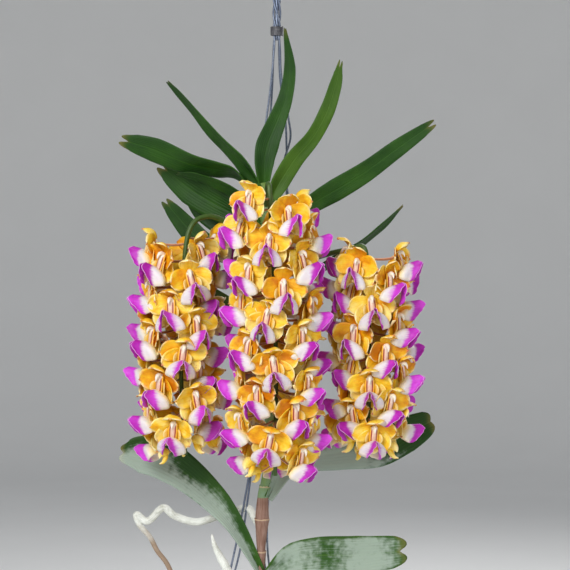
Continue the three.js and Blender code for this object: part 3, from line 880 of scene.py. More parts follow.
def settle(piece: bpy.types.Object, stands_for: Sequence[str]) -> bpy.types.Object:
    """Links a piece, seats it on the root body and hides the nodes that it stands for.

    Args:
        piece: The new object.
        stands_for: The CAD nodes that it replaces.

    Returns:
        The same object.
    """
    bpy.context.scene.collection.objects.link(piece)
    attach(piece, "root")
    if stands_for:
        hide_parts(*stands_for)
    LOG.info("%s: %d vertices", piece.name, len(piece.data.vertices))
    return piece


# Flowers


@dataclass(frozen=True)
class Wall:
    """A plane that a raceme's flowers keep to one side of, in millimetres."""

    point: tuple[float, float, float]
    inward: tuple[float, float, float]

    def room(self, points: Array) -> Array:
        """How far each point is inside the wall."""
        return (points - np.array(self.point)) @ self.way()

    def way(self) -> Array:
        """The inward direction, one long."""
        inward = np.array(self.inward)
        return inward / np.linalg.norm(inward)


@dataclass(frozen=True)
class Lobe:
    """A sepal or petal: the way it points in degrees, its size, and how it curves."""

    turn: float
    length: float
    half: float
    root: tuple[float, float]  # x and z of its foot
    arch: float  # degrees that it curves forward from base to tip
    cup: float  # how far its sides come forward, as a share of the half width
    roll: float  # how far one side comes forward and the other goes back
    pale: float  # how much paler it is than a petal


@dataclass
class Flower:
    """One flower in its own axes: x out from the raceme, y to the side, z up, in millimetres."""

    lip_length: float = 18.0
    pedicel_radius: float = 1.0
    lobes: tuple[Lobe, ...] = (
        Lobe(-50, 18.4, 7.2, (0.0, -1.0), 8, 0.24, 0.10, 0.30),
        Lobe(230, 18.4, 7.2, (0.0, -1.0), 8, 0.24, -0.10, 0.30),
        Lobe(-11, 17.8, 7.3, (1.2, 1.0), 28, 0.20, 0.30, 0.02),
        Lobe(191, 17.8, 7.3, (1.2, 1.0), 28, 0.20, -0.30, 0.02),
        Lobe(90, 16.0, 7.4, (0.6, 3.2), 122, 0.42, 0.0, 0.10),
    )

    def tepals(self, seed: int) -> list[tuple[Array, Array, float]]:
        """Each sepal and petal as surface, thickness and tint."""
        return [self._tepal(lobe, seed * 7 + i) for i, lobe in enumerate(self.lobes)]

    @staticmethod
    def _tepal(lobe: Lobe, seed: int) -> tuple[Array, Array, float]:
        """One sepal or petal, its edge softly waved and its tip drawn to a small point.

        Args:
            lobe: The way it points, its size and its curves.
            seed: The draw that its small differences come from.

        Returns:
            Its surface, thickness and tint.
        """
        rows, columns = 13, 11
        v = (1 - np.cos(np.linspace(0, 1, rows) * math.pi)) / 2
        v, u = np.meshgrid(v, np.linspace(-1, 1, columns), indexing="ij")
        outline = (v + 0.05) ** 0.55 * (1.004 - v) ** 0.42
        half = lobe.half * outline / outline.max() * (1 + 0.12 * wobble(seed, 20))
        arch = math.radians(lobe.arch + 20 * wobble(seed, 21))
        bend = lobe.length / arch
        face = arch * v
        out = lobe.root[0] + bend * (1 - np.cos(face))
        point = 1.3 * np.exp(-((u / 0.3) ** 2)) * v**6
        reach = bend * np.sin(face) + point * np.cos(face)
        out = out + point * np.sin(face)
        cup = lobe.cup + 0.26 * wobble(seed, 22)
        roll = lobe.roll + 0.26 * wobble(seed, 25)
        wave = np.sin(u * 3.7 + seed) + 0.6 * np.sin(u * 2.2 + v * 7.0 + 2.0 * seed)
        ruffle = np.sin(u * 8.5 + 1.7 * seed) * np.abs(u) + np.sin(u * 6.1 + v * 11 + seed)
        lift = half * (cup * u**2 + roll * u * v) + 0.65 * wave * v**1.5 + 0.38 * ruffle * v**2
        out = out + lift * np.cos(face)
        reach = reach - lift * np.sin(face)
        turn = math.radians(lobe.turn + 11 * wobble(seed, 23))
        side = u * half
        surface = np.stack(
            [
                out,
                np.cos(turn) * reach - np.sin(turn) * side,
                lobe.root[1] + np.sin(turn) * reach + np.cos(turn) * side,
            ],
            2,
        )
        thickness = 0.32 + 0.5 * (1 - u**2) * (1 - v) ** 0.5
        return surface, thickness, 0.36 + lobe.pale + 0.12 * wobble(seed, 24)

    def lip(self, seed: int) -> tuple[Array, Array]:
        """The tent-shaped lip: a straight ridge, bellied flanks and a notched, toothed front.

        Args:
            seed: The draw that its width and frills come from.

        Returns:
            Its surface and thickness.
        """
        rows, columns = 17, 19
        v, u = np.meshgrid(np.linspace(0, 1, rows), np.linspace(-1, 1, columns), indexing="ij")
        side = np.abs(u)
        scale = self.lip_length / 18
        end = np.interp(side, [0, 0.14, 0.3, 0.65, 1], [17.4, 19.6, 22.0, 19.6, 15.0]) * scale
        teeth = (0.30 * np.sin(side * 52 + seed) + 0.22 * np.sin(side * 31 + 2 * seed)) * v**9
        start = 3.4 - 2.2 * side
        x = start + (end - start) * v + teeth
        depth = np.interp(v, [0, 0.3, 0.6, 0.85, 1], [7.0, 11.6, 14.6, 14.4, 13.0]) * scale
        width = np.interp(v, [0, 0.12, 0.3, 0.42, 0.58, 1], [5.4, 9.2, 10.6, 9.8, 5.4, 3.0]) * scale
        width = width * (1 + 0.12 * wobble(seed, 30))
        frill = 0.5 * np.sin(side * 15 + seed) * v**5
        belly = width * (1 - (1 - side) ** 2.1)
        closed = ease(np.clip((v - 0.4) / 0.5, 0, 1))
        y = np.sign(u) * (mix(belly, 0.4 + 4.8 * side**1.6, closed) + frill)
        ridge = np.interp(v, [0, 0.3, 1], [-8.8, -6.8, -5.0])
        z = ridge - depth * side**1.4
        thickness = 0.35 + 0.5 * (1 - side) * (1 - v)
        return np.stack([x, y, z], 2), thickness

    def throat(self) -> tuple[Array, Array]:
        """The striped strip from the column down to the lip.

        Returns:
            Its surface and thickness.
        """
        v, u = np.meshgrid(np.linspace(0, 1, 11), np.linspace(-1, 1, 13), indexing="ij")
        x = np.interp(v, [0, 0.4, 1], [4.0, 4.9, 5.6]) - 1.5 * u**2 + 0.35 * np.cos(u * 6)
        y = u * np.interp(v, [0, 0.5, 1], [3.2, 3.6, 3.3])
        z = 3.0 - 12.4 * v
        return np.stack([x, y, z], 2), np.full_like(x, 0.8)

    def wings(self) -> list[tuple[Array, Array]]:
        """The lip's two side lobes, which stand up either side of the throat.

        Returns:
            The surface and thickness of each.
        """
        v, u = np.meshgrid(np.linspace(0, 1, 7), np.linspace(-1, 1, 9), indexing="ij")
        made = []
        for hand in (-1, 1):
            rise = (1 - u**2) ** 0.5
            x = 2.6 + 3.8 * v * rise
            y = hand * (3.1 + 2.6 * v * rise + 1.2 * v**2)
            z = -5.4 + u * 4.6 - 0.8 * v
            made.append((np.stack([x, y, z], 2), 0.45 + 0.3 * (1 - v)))
        return made

    def column(self) -> tuple[Array, Array, Array]:
        """The white column with its anther cap and beak.

        Returns:
            A bar's points, faces and marks.
        """
        radii = [2.0, 2.0, 1.9, 1.7, 1.45, 0.9, 0.3]
        path = Curve([
            (-0.5, 0, 0.0), (1.2, 0, 1.6), (2.8, 0, 2.8), (4.6, 0, 3.4),
            (6.1, 0, 2.9), (7.2, 0, 1.4), (7.6, 0, -0.8),
        ])
        return bar_mesh(path, lambda t, _: float(along_list(radii, t)), 10, 12)

    def spur(self) -> tuple[Array, Array, Array]:
        """The spur that curves forward under the lip.

        Returns:
            A bar's points, faces and marks.
        """
        path = Curve([(2.0, 0, -6.5), (3.2, 0, -10.0), (6.0, 0, -13.0), (9.5, 0, -13.6)])
        radii = [3.0, 2.8, 1.8, 0.5]
        return bar_mesh(path, lambda t, _: float(along_list(radii, t)), 8, 8)

    def pedicel(self, back: float) -> tuple[Array, Array, Array]:
        """The stalk and ribbed ovary from the rachis to the flower.

        Args:
            back: How far behind the flower the rachis is.

        Returns:
            A bar's points, faces and marks.
        """
        path = Curve([
            (-back, 0, back * 0.12), (-back * 0.6, 0, back * 0.02),
            (-back * 0.25, 0, -0.4), (0.6, 0, 0),
        ])
        return bar_mesh(path, self._pedicel_radius, 9, 8)

    def _pedicel_radius(self, t: float, angle: float) -> float:
        """Its radius, ribbed where the ovary is."""
        return self.pedicel_radius * (0.85 + 0.35 * t + 0.1 * t * math.cos(angle * 6 * math.pi))

    def bud(self) -> list[tuple[Array, Array, Array]]:
        """An unopened flower: a plump bud over its spur.

        Returns:
            The two bars.
        """
        body = Curve([(-1.5, 0, -2), (0.5, 0, 1.5), (4.5, 0, 3.2), (9.0, 0, 1.8), (11.5, 0, -1.0)])
        spur = Curve([(2, 0, -0.5), (5, 0, -4.5), (9, 0, -7.0), (14, 0, -6.4)])
        plump, slim = [0.8, 4.2, 5.0, 3.2, 0.5], [3.0, 3.0, 2.0, 0.6]
        return [
            bar_mesh(body, lambda t, _: float(along_list(plump, t)), 10, 12),
            bar_mesh(spur, lambda t, _: float(along_list(slim, t)), 8, 8),
        ]


@dataclass(frozen=True)
class Place:
    """Where a flower stands: its centre, axes, size, and how far behind it the rachis is."""

    centre: Array
    axes: Array
    size: float
    back: float


GOLDEN_TURN = 137.508
WALL_MARGIN = 5.0
WALL_GAP = 0.3
CENTRE_PARTS = {"column": 0.0, "throat": 0.6, "wing": 1.0}


@dataclass
class Raceme:
    """A hanging raceme: its peduncle, its rachis, and the flowers crowded all round it."""

    name: str
    peduncle: list[tuple[float, float, float]]
    rachis: list[tuple[float, float, float]]
    flowers: int
    reach: float
    turn: float
    walls: list[Wall]
    buds: int = 3
    turn_spread: float = 9.0  # degrees by which a flower's turn round the rachis differs
    size_spread: float = 0.05
    nod_spread: float = 6.0
    lean: float = 13.0  # how far a flower is turned about its own axis, in degrees
    young_from: float = 0.86  # the share of the rachis past which flowers are younger
    young_over: float = 0.18
    young_shrink: float = 0.42
    young_reach: float = 0.35  # how much less far the youngest ones stand out
    lip_root: float = 3.0
    least_back: float = 8.0
    nods: tuple[float, float] = (10.0, -14.0)  # degrees up at the top and down at the tip
    spine_radii: tuple[float, float] = (2.3, 1.5)
    flower: Flower = field(default_factory=Flower)

    def reach_inside(self, axis: Array, way: Array) -> float:
        """How far a flower's lip reaches in a direction before it meets a wall.

        Args:
            axis: The point of the rachis that the flower grows from.
            way: The direction that it grows in.

        Returns:
            The reach in millimetres.
        """
        reach = self.reach
        for wall in self.walls:
            towards = -float(wall.way() @ way)
            if towards > 0.05:
                reach = min(reach, (float(wall.room(axis)) - 1.5) / towards)
        return reach

    def bend_inside(self, points: Array) -> Array:
        """Bends points back to their own side of the walls.

        Args:
            points: Points of a flower.

        Returns:
            The points, bent where they come near a wall.
        """
        for wall in self.walls:
            room = wall.room(points)
            near = room < WALL_MARGIN
            bent = WALL_MARGIN * np.exp((room - WALL_MARGIN) / WALL_MARGIN)
            shift = np.where(near, bent - room + WALL_GAP, 0.0)
            points = points + shift[:, None] * wall.way()
        return points

    def place(self, rachis: Curve, k: int) -> Place:
        """Where flower k stands.

        Args:
            rachis: The rachis that it grows from.
            k: Its number, from the top.

        Returns:
            Its place.
        """
        t = (k + 0.5) / self.flowers
        axis = rachis.at(t)
        turn = math.radians(self.turn + GOLDEN_TURN * k + self.turn_spread * wobble(k, 1))
        flat = np.array([math.cos(turn), math.sin(turn), 0.0])
        young = ease(min(max((t - self.young_from) / self.young_over, 0.0), 1.0))
        size = (1 - self.young_shrink * young) * (1 + self.size_spread * wobble(k, 2))
        reach = self.reach_inside(axis, flat) * (1 - self.young_reach * young)
        back = max(self.least_back, reach - (self.lip_root + self.flower.lip_length) * size)
        nod = mix(*self.nods, t) + self.nods[1] * young + self.nod_spread * wobble(k, 3)
        nod = math.radians(nod)
        out = flat * math.cos(nod) + np.array([0, 0, math.sin(nod)])
        side = np.array([-flat[1], flat[0], 0.0])
        up = np.cross(out, side)
        lean = math.radians(self.lean * wobble(k, 42))
        across = side * math.cos(lean) + up * math.sin(lean)
        axes = np.stack([out, across, np.cross(out, across)])
        return Place(axis + flat * back, axes, size, back)

    def build(self, petal: object, lip: object, centre: object, stalk: object) -> None:
        """Builds the raceme's four pieces.

        Args:
            petal: The petals' material.
            lip: The lips' material.
            centre: The material of columns, throats, side lobes and spurs.
            stalk: The material of the rachis and pedicels.
        """
        tepals, lips, centres, stalks = Skin(), Skin(), Skin(), Skin()
        rachis = Curve(self.rachis)
        spine = Curve([*self.peduncle, *self.rachis])
        stalks.add_bar(bar_mesh(spine, self._spine_radius, 12, 70), 0.0)
        for k in range(self.flowers):
            spot = self.place(rachis, k)
            if k >= self.flowers - self.buds:
                for body in self.flower.bud():
                    self._seat(tepals, spot, body, 0.75)
            else:
                self._open(k, spot, tepals, lips, centres)
            self._seat(stalks, spot, self.flower.pedicel(spot.back / spot.size), 1.0)
        tepals.build(f"{self.name}_petals", petal, "flowers", [self.name])
        lips.build(f"{self.name}_lips", lip, "flowers", [self.name])
        centres.build(f"{self.name}_centres", centre, "flowers", [self.name])
        stalks.build(f"{self.name}_stalks", stalk, "flowers", [self.name])

    def _spine_radius(self, t: float, angle: float) -> float:
        """The ridged stalk's radius, from its root to the raceme's tip."""
        return mix(*self.spine_radii, t) + 0.12 * math.cos(angle * 31)

    def _open(self, k: int, spot: Place, tepals: Skin, lips: Skin, centres: Skin) -> None:
        """Adds an open flower to the raceme's skins.

        Args:
            k: Its number.
            spot: Where it stands.
            tepals: The skin of the sepals and petals.
            lips: The skin of the lips.
            centres: The skin of the columns, throats, side lobes and spurs.
        """
        tone = 0.18 * wobble(k, 40)
        for surface, thickness, tint in self.flower.tepals(k):
            self._lay(tepals, spot, surface, thickness, tint + tone)
        self._lay(lips, spot, *self.flower.lip(k), 0.5 + 0.5 * wobble(k, 41))
        self._lay(centres, spot, *self.flower.throat(), CENTRE_PARTS["throat"])
        for surface, thickness in self.flower.wings():
            self._lay(centres, spot, surface, thickness, CENTRE_PARTS["wing"])
        self._seat(centres, spot, self.flower.column(), CENTRE_PARTS["column"])
        self._seat(centres, spot, self.flower.spur(), CENTRE_PARTS["wing"])

    def _world(self, spot: Place, points: Array) -> Array:
        """Points of a flower where the flower stands."""
        return self.bend_inside(spot.centre + (points * spot.size) @ spot.axes)

    def _lay(self, skin: Skin, spot: Place, surface: Array, thickness: Array, tint: float) -> None:
        """Adds a sheet of the flower."""
        placed = self._world(spot, surface.reshape(-1, 3)).reshape(surface.shape)
        skin.add_sheet(placed, thickness * spot.size, tint)

    def _seat(self, skin: Skin, spot: Place, made: tuple[Array, Array, Array], tint: float) -> None:
        """Adds a bar of the flower."""
        points, faces, marks = made
        skin.add_bar((self._world(spot, points), faces, marks), tint)


RACEMES = [
    Raceme(
        name="raceme_left",
        peduncle=[(-3, 0, -272), (-16, -1, -246), (-31, -8, -230), (-52, -18, -222)],
        rachis=[(-66, -25, -236), (-70, -25, -290), (-71, -25, -345), (-68, -25, -401)],
        flowers=39,
        reach=43,
        turn=40,
        walls=[Wall((-38.5, -38, 0), (-67, 27, 0)), Wall((0, 9, 0), (0, -1, 0))],
    ),
    Raceme(
        name="raceme_middle",
        peduncle=[(-8, 0, -216), (-7, -16, -206), (-6, -33, -199), (-5, -46, -200)],
        rachis=[(-4.5, -52, -208), (-1, -52, -275), (0, -52, -345), (-0.5, -52, -414)],
        flowers=50,
        reach=46,
        turn=245,
        walls=[
            Wall((-37.5, -38.5, 0), (67, -27, 0)),
            Wall((36.5, -38.5, 0), (-67, -27, 0)),
            Wall((0, -8, 0), (0, -1, 0)),
        ],
    ),
    Raceme(
        name="raceme_right",
        peduncle=[(-3, 0, -264), (20, -2, -256), (40, -9, -250), (56, -17, -247)],
        rachis=[(67, -25, -248), (69, -25, -290), (70, -25, -345), (68, -25, -401)],
        flowers=37,
        reach=43,
        turn=200,
        walls=[Wall((37.5, -38, 0), (67, 27, 0)), Wall((0, 9, 0), (0, -1, 0))],
    ),
]


# Leaves

DARK = LeafFinish("leaf_dark", (0.008, 0.044, 0.002), (0.030, 0.105, 0.006))
FRESH = LeafFinish("leaf_fresh", (0.030, 0.085, 0.003), (0.070, 0.160, 0.008))
DUSTY_BELOW = LeafFinish(
    "leaf_dusty_below", (0.012, 0.050, 0.004), (0.040, 0.110, 0.012), Film.CRUSTED, -0.26, 0.7
)
DUSTY_LEFT = LeafFinish(
    "leaf_dusty_left", (0.012, 0.050, 0.004), (0.040, 0.110, 0.012), Film.CRUSTED, 0.29, -0.15
)
CRUSTED = LeafFinish("leaf_crusted", (0.020, 0.075, 0.006), (0.060, 0.140, 0.018), Film.CRUSTED)
FINISHES = (DARK, FRESH, DUSTY_BELOW, DUSTY_LEFT, CRUSTED)


@dataclass
class Leaf:
    """A strap leaf: its middle line, widths, roll and fold in degrees, and notched tip."""

    name: str
    path: list[tuple[float, float, float]]
    widths: list[float]
    roll: tuple[float, float]
    fold: tuple[float, float]
    notch: float
    finish: LeafFinish
    rows: int = 72
    columns: int = 17
    keel: float = 2.0
    edge: float = 0.9
    clasp: float = 0.3  # the share of its length over which the folded base opens
    tip_from: float = 0.86  # where its tip's two lobes start

    def point(self, curve: Curve, t: float, u: float) -> Array:
        """Where the leaf's middle surface is, at t from base to tip and u from edge to edge.

        Args:
            curve: The leaf's middle line.
            t: The place along it, from 0 to 1.
            u: The place across it, from -1 to 1.

        Returns:
            The point.
        """
        tangent = curve.tangent(t)
        across = np.cross((0.0, -1.0, 0.0), tangent)
        across /= np.linalg.norm(across)
        face = np.cross(tangent, across)
        roll = math.radians(mix(*self.roll, t))
        side = across * math.cos(roll) + face * math.sin(roll)
        normal = face * math.cos(roll) - across * math.sin(roll)
        fold = math.radians(mix(*self.fold, min(1.0, t / self.clasp)))
        half = float(along_list(self.widths, t)) / 2
        seed = len(self.name)
        crease = math.sqrt(u * u + 0.006) - 0.08
        ripple = 0.5 * math.sin(t * 17 + u * 2 + seed) * abs(u) * t * (1 - t) * 4
        return (
            curve.at(t)
            + tangent * self.tip(t, u)
            + side * u * half * math.cos(fold)
            + normal * (crease * half * math.sin(fold) + ripple - 0.1 * half * u**4)
        )

    def tip(self, t: float, u: float) -> float:
        """How far a point near the tip is moved along the leaf to make its two lobes.

        Args:
            t: The place along the leaf, from 0 to 1.
            u: The place across it, from -1 to 1.

        Returns:
            The distance in millimetres.
        """
        reach = max(0.0, (t - self.tip_from) / (1 - self.tip_from))
        lobe = 1.5 * math.cos((abs(u) - 0.5) * math.pi) + (1.6 if u > 0 else 0.0) * abs(u)
        notch = -self.notch * math.exp(-((u / 0.22) ** 2))
        shoulder = -(self.notch + 4) * abs(u) ** 4
        return reach**2 * (lobe + notch + shoulder)

    def build(self, material: bpy.types.Material) -> None:
        """Builds the leaf's piece.

        Args:
            material: The leaf's finish.
        """
        curve = Curve(self.path)
        ts = np.linspace(0, 1, self.rows)
        us = np.linspace(-1, 1, self.columns)
        surface = np.array([[self.point(curve, t, u) for u in us] for t in ts])
        thickness = self.edge + (self.keel - self.edge) * np.exp(-((us / 0.25) ** 2))
        thickness = np.tile(thickness, (self.rows, 1)) * (1 - 0.55 * ts[:, None] ** 3)
        skin = Skin()
        skin.add_sheet(surface, thickness, 0.5 + 0.5 * wobble(len(self.name), 50))
        skin.build(f"{self.name}_blade", material, "leaf", [self.name])


LEAVES = [
    Leaf(
        "leaf_crown",
        [
            (-10, 0, -204), (-9.5, -1, -182), (-6.5, -2, -166.5), (1, -3, -148), (7.5, -4, -130),
            (10.5, -5, -108), (7, -6, -80),
        ],
        [11, 18, 19, 15, 12, 9.5, 3], (10, -12), (55, 22), 0, DARK,
    ),
    Leaf(
        "leaf_upper_right",
        [
            (-6, 0, -212), (2, 0, -196), (14, 0, -177.5), (28, -2, -161), (38.5, -4, -141.5),
            (45, -6, -122), (49, -8, -104.5),
        ],
        [12, 17, 14.5, 12.5, 12, 10, 5], (20, 5), (55, 14), 4, FRESH,
    ),
    Leaf(
        "leaf_far_right",
        [
            (-3, 0, -229), (25, 3, -212.5), (45, 4, -201), (69, 3, -186.5), (93, 1, -169),
            (120, -2, -150.5),
        ],
        [12, 16, 18, 16.5, 14, 9], (24, 10), (55, 12), 5, DARK,
    ),
    Leaf(
        "leaf_upper_left",
        [
            (-9, 0, -202), (-21, 3, -186), (-37, 7, -169), (-52, 9, -153.5), (-68, 12, -134),
            (-83, 15, -117.5),
        ],
        [12, 16, 14, 11, 9.5, 6], (-50, -60), (50, 14), 2, DARK,
    ),
    Leaf(
        "leaf_far_left",
        [
            (-9, 0, -212), (-27, -1, -190), (-46, -3, -185.5), (-68.5, -5, -180.5), (-92, -7, -171),
            (-117, -9, -163.5),
        ],
        [11, 17, 20, 21, 20, 12], (-92, -8), (50, 10), 5, DARK,
    ),
    Leaf(
        "leaf_broad_left",
        [(-6, 0, -236), (-27, 8, -222), (-46, 13, -212), (-66, 16, -200), (-89, 18, -182)],
        [12, 21, 24, 24, 13], (-15, -8), (50, 14), 4, DARK,
    ),
    Leaf(
        "leaf_slender_left",
        [(-7, 0, -222), (-33, -2, -203), (-47, -3, -196), (-61, -3, -191), (-74, -2, -189)],
        [13, 11, 9, 8, 5], (-40, -50), (40, 12), 1, DARK,
    ),
    Leaf(
        "leaf_shoulder_left",
        [(-4, 0, -268), (-28, 13, -252), (-52, 20, -244), (-68, 23, -230), (-86, 24, -209)],
        [11, 17, 18, 17, 10], (-10, -6), (50, 10), 3, DARK,
    ),
    Leaf(
        "leaf_back_left",
        [(-5, 0, -252), (-24, 19, -238), (-42, 28, -226), (-58, 34, -214), (-70, 37, -200)],
        [11, 18, 20, 18, 9], (-8, -4), (50, 10), 3, DARK,
    ),
    Leaf(
        "leaf_low_left",
        [
            (-4, 0, -306), (-34, 16, -290), (-62, 24, -276), (-84, 26, -262), (-97, 26, -252),
            (-107, 25, -246),
        ],
        [11, 15, 15, 13, 10, 5], (-20, -30), (50, 12), 2, FRESH,
    ),
    Leaf(
        "leaf_low_right",
        [
            (-3, 0, -285), (22, 13, -268), (45, 20, -254), (64.5, 22, -242), (82, 22, -228),
            (97, 21, -213),
        ],
        [11, 14, 14, 12, 10, 5], (58, 66), (50, 14), 2, DARK,
    ),
    Leaf(
        "leaf_mid_right",
        [
            (-7, 0, -437), (11, 8, -410), (48, 17, -403), (78, 19, -400), (100, 18, -389),
            (119, 16, -379),
        ],
        [13, 22, 28, 30, 29, 20], (8, 6), (60, 10), 0, DUSTY_BELOW,
    ),
    Leaf(
        "leaf_lower_left",
        [
            (-12, 0, -492), (-33, 3, -455), (-55, 4, -430), (-79.5, 5, -411), (-102, 4, -403),
            (-118, 2, -402),
        ],
        [13, 18, 25, 32, 31, 18], (6, 0), (60, 20), 1, DUSTY_LEFT,
    ),
    Leaf(
        "leaf_lower_right",
        [(-11, 0, -500), (10.5, -2, -484), (33, -4, -479.5), (63, -6, -479), (98, -8, -475.5)],
        [13, 25, 29, 30, 24], (2, -6), (58, 12), 4, CRUSTED,
    ),
]


# Stem and roots


@dataclass
class Stem:
    """The climbing stem in its overlapping sheaths."""

    path: tuple[tuple[float, float, float], ...] = (
        (-13.5, 0, -622), (-12.8, 0, -560), (-11, 0, -489), (-11.5, 0, -473), (-10.8, 0, -452),
        (-10, 0, -436), (-6, 0, -410), (-3, 0, -340), (-3, 0, -253), (-7, 0, -215), (-10.5, 0, -196),
    )
    radii: tuple[float, ...] = (3.6, 3.4, 2.6, 3.4, 5.3, 4.3, 3.8, 4.6, 6.2, 6.4, 4.2)
    ring: float = -452.0  # a sheath's rim is at this height, the others a pitch apart
    pitch: float = 25.0
    swell: float = 0.7
    green_from: float = -436.0  # above this height the sheaths are still green
    sides: int = 28
    steps: int = 420

    def build(self, material: bpy.types.Material) -> None:
        """Builds the stem's piece.

        Args:
            material: The stem's finish.
        """
        curve = Curve(self.path)
        points, faces, marks = bar_mesh(
            curve, lambda t, angle: self._radius(curve.at(t)[2], t, angle), self.sides, self.steps
        )
        sheath = ((points[:, 2] - self.ring) / self.pitch) % 1
        dry = np.clip((self.green_from - points[:, 2]) / 4 + 0.5, 0, 1)
        skin = Skin()
        skin.add(points, faces, np.stack([dry, marks[:, 1], sheath], 1))
        skin.build("stem_sheaths", material, "stem", ["stem"])

    def _radius(self, z: float, t: float, angle: float) -> float:
        """Its radius: each sheath's rim stands proud and is a little ragged.

        Args:
            z: The height of this point of the middle line.
            t: Its place along the stem, from 0 to 1.
            angle: The place round the stem, from 0 to 1.

        Returns:
            The radius in millimetres.
        """
        place = (z - self.ring) / self.pitch
        ragged = 0.012 * math.sin(angle * 4 * math.pi + math.floor(place) * 2.4)
        sheath = (place + ragged) % 1
        rib = 0.08 * math.cos(angle * 22 * math.pi)
        return float(along_list(self.radii, t)) + self.swell * sheath**6 + rib


@dataclass
class Root:
    """One root: its middle line, radii, and whether its far part is stained."""

    name: str
    path: list[tuple[float, float, float]]
    radii: list[float]
    stain: float = 0.0
    sides: int = 14

    def build(self, material: bpy.types.Material) -> None:
        """Builds the root's piece.

        Args:
            material: The root's finish.
        """
        steps = 14 * (len(self.path) - 1)
        skin = Skin()
        skin.add_bar(bar_mesh(Curve(self.path), self._radius, self.sides, steps), self.stain)
        skin.build(f"{self.name}_bark", material, "root", [self.name])

    def _radius(self, t: float, angle: float) -> float:
        """Its radius, slightly lumpy, rounded off at the free end.

        Args:
            t: The place along the root, from 0 to 1.
            angle: The place round it, from 0 to 1.

        Returns:
            The radius in millimetres.
        """
        r = float(along_list(self.radii, t))
        seed = len(self.name)
        lump = 0.16 * math.sin(t * 37 + seed) * math.sin(angle * 2 * math.pi + t * 21)
        end = math.sqrt(max(0.0, 1 - max(0.0, (t - 0.97) / 0.031) ** 2))
        return (r + lump * r * 0.22) * end


ROOTS = [
    Root(
        "root_long_left",
        [
            (-10, 0, -462), (-16, 7, -453), (-21.5, 14, -446), (-31, 18, -448), (-46, 18, -453),
            (-62.5, 15, -456.5), (-78, 12, -451.5), (-87, 9, -445), (-98.5, 8, -455),
            (-107, 8, -450), (-105, 9, -458), (-97.5, 10, -467), (-91.5, 10, -478),
            (-83.5, 10, -489), (-77, 9, -506), (-74, 7, -528),
        ],
        [3, 3.1, 3, 3, 2.9, 3, 2.9, 3, 2.9, 2.7, 2.2, 2, 1.9, 1.9, 1.8, 1],
        stain=1.0,
    ),
    Root(
        "root_rising_left",
        [
            (-12.5, 0, -556), (-21, -6, -545), (-28, -9, -522), (-33, -9, -502), (-37.5, -8, -489.5),
            (-42, -8, -481), (-46.5, -8, -472), (-49, -8, -463),
        ],
        [2.8, 2.9, 3.1, 3.3, 3.4, 3.1, 2, 0.8],
    ),
    Root(
        "root_into_bark_left",
        [(-12.5, 0, -532), (-24, -8, -545), (-35, -13, -568), (-38, -14, -592), (-37, -13, -612)],
        [2.6, 2.7, 2.7, 2.6, 1.8],
    ),
    Root(
        "root_into_bark_front",
        [(-12, 0, -520), (-6, -10, -530), (-3, -18, -555), (-6, -22, -585), (-9, -22, -612)],
        [2.6, 2.7, 2.7, 2.6, 1.8],
    ),
    Root(
        "root_into_bark_back",
        [(-12.5, 0, -542), (-8, 11, -552), (0, 18, -575), (2, 20, -598), (0, 19, -614)],
        [2.6, 2.7, 2.7, 2.6, 1.8],
    ),
]


# Hanger


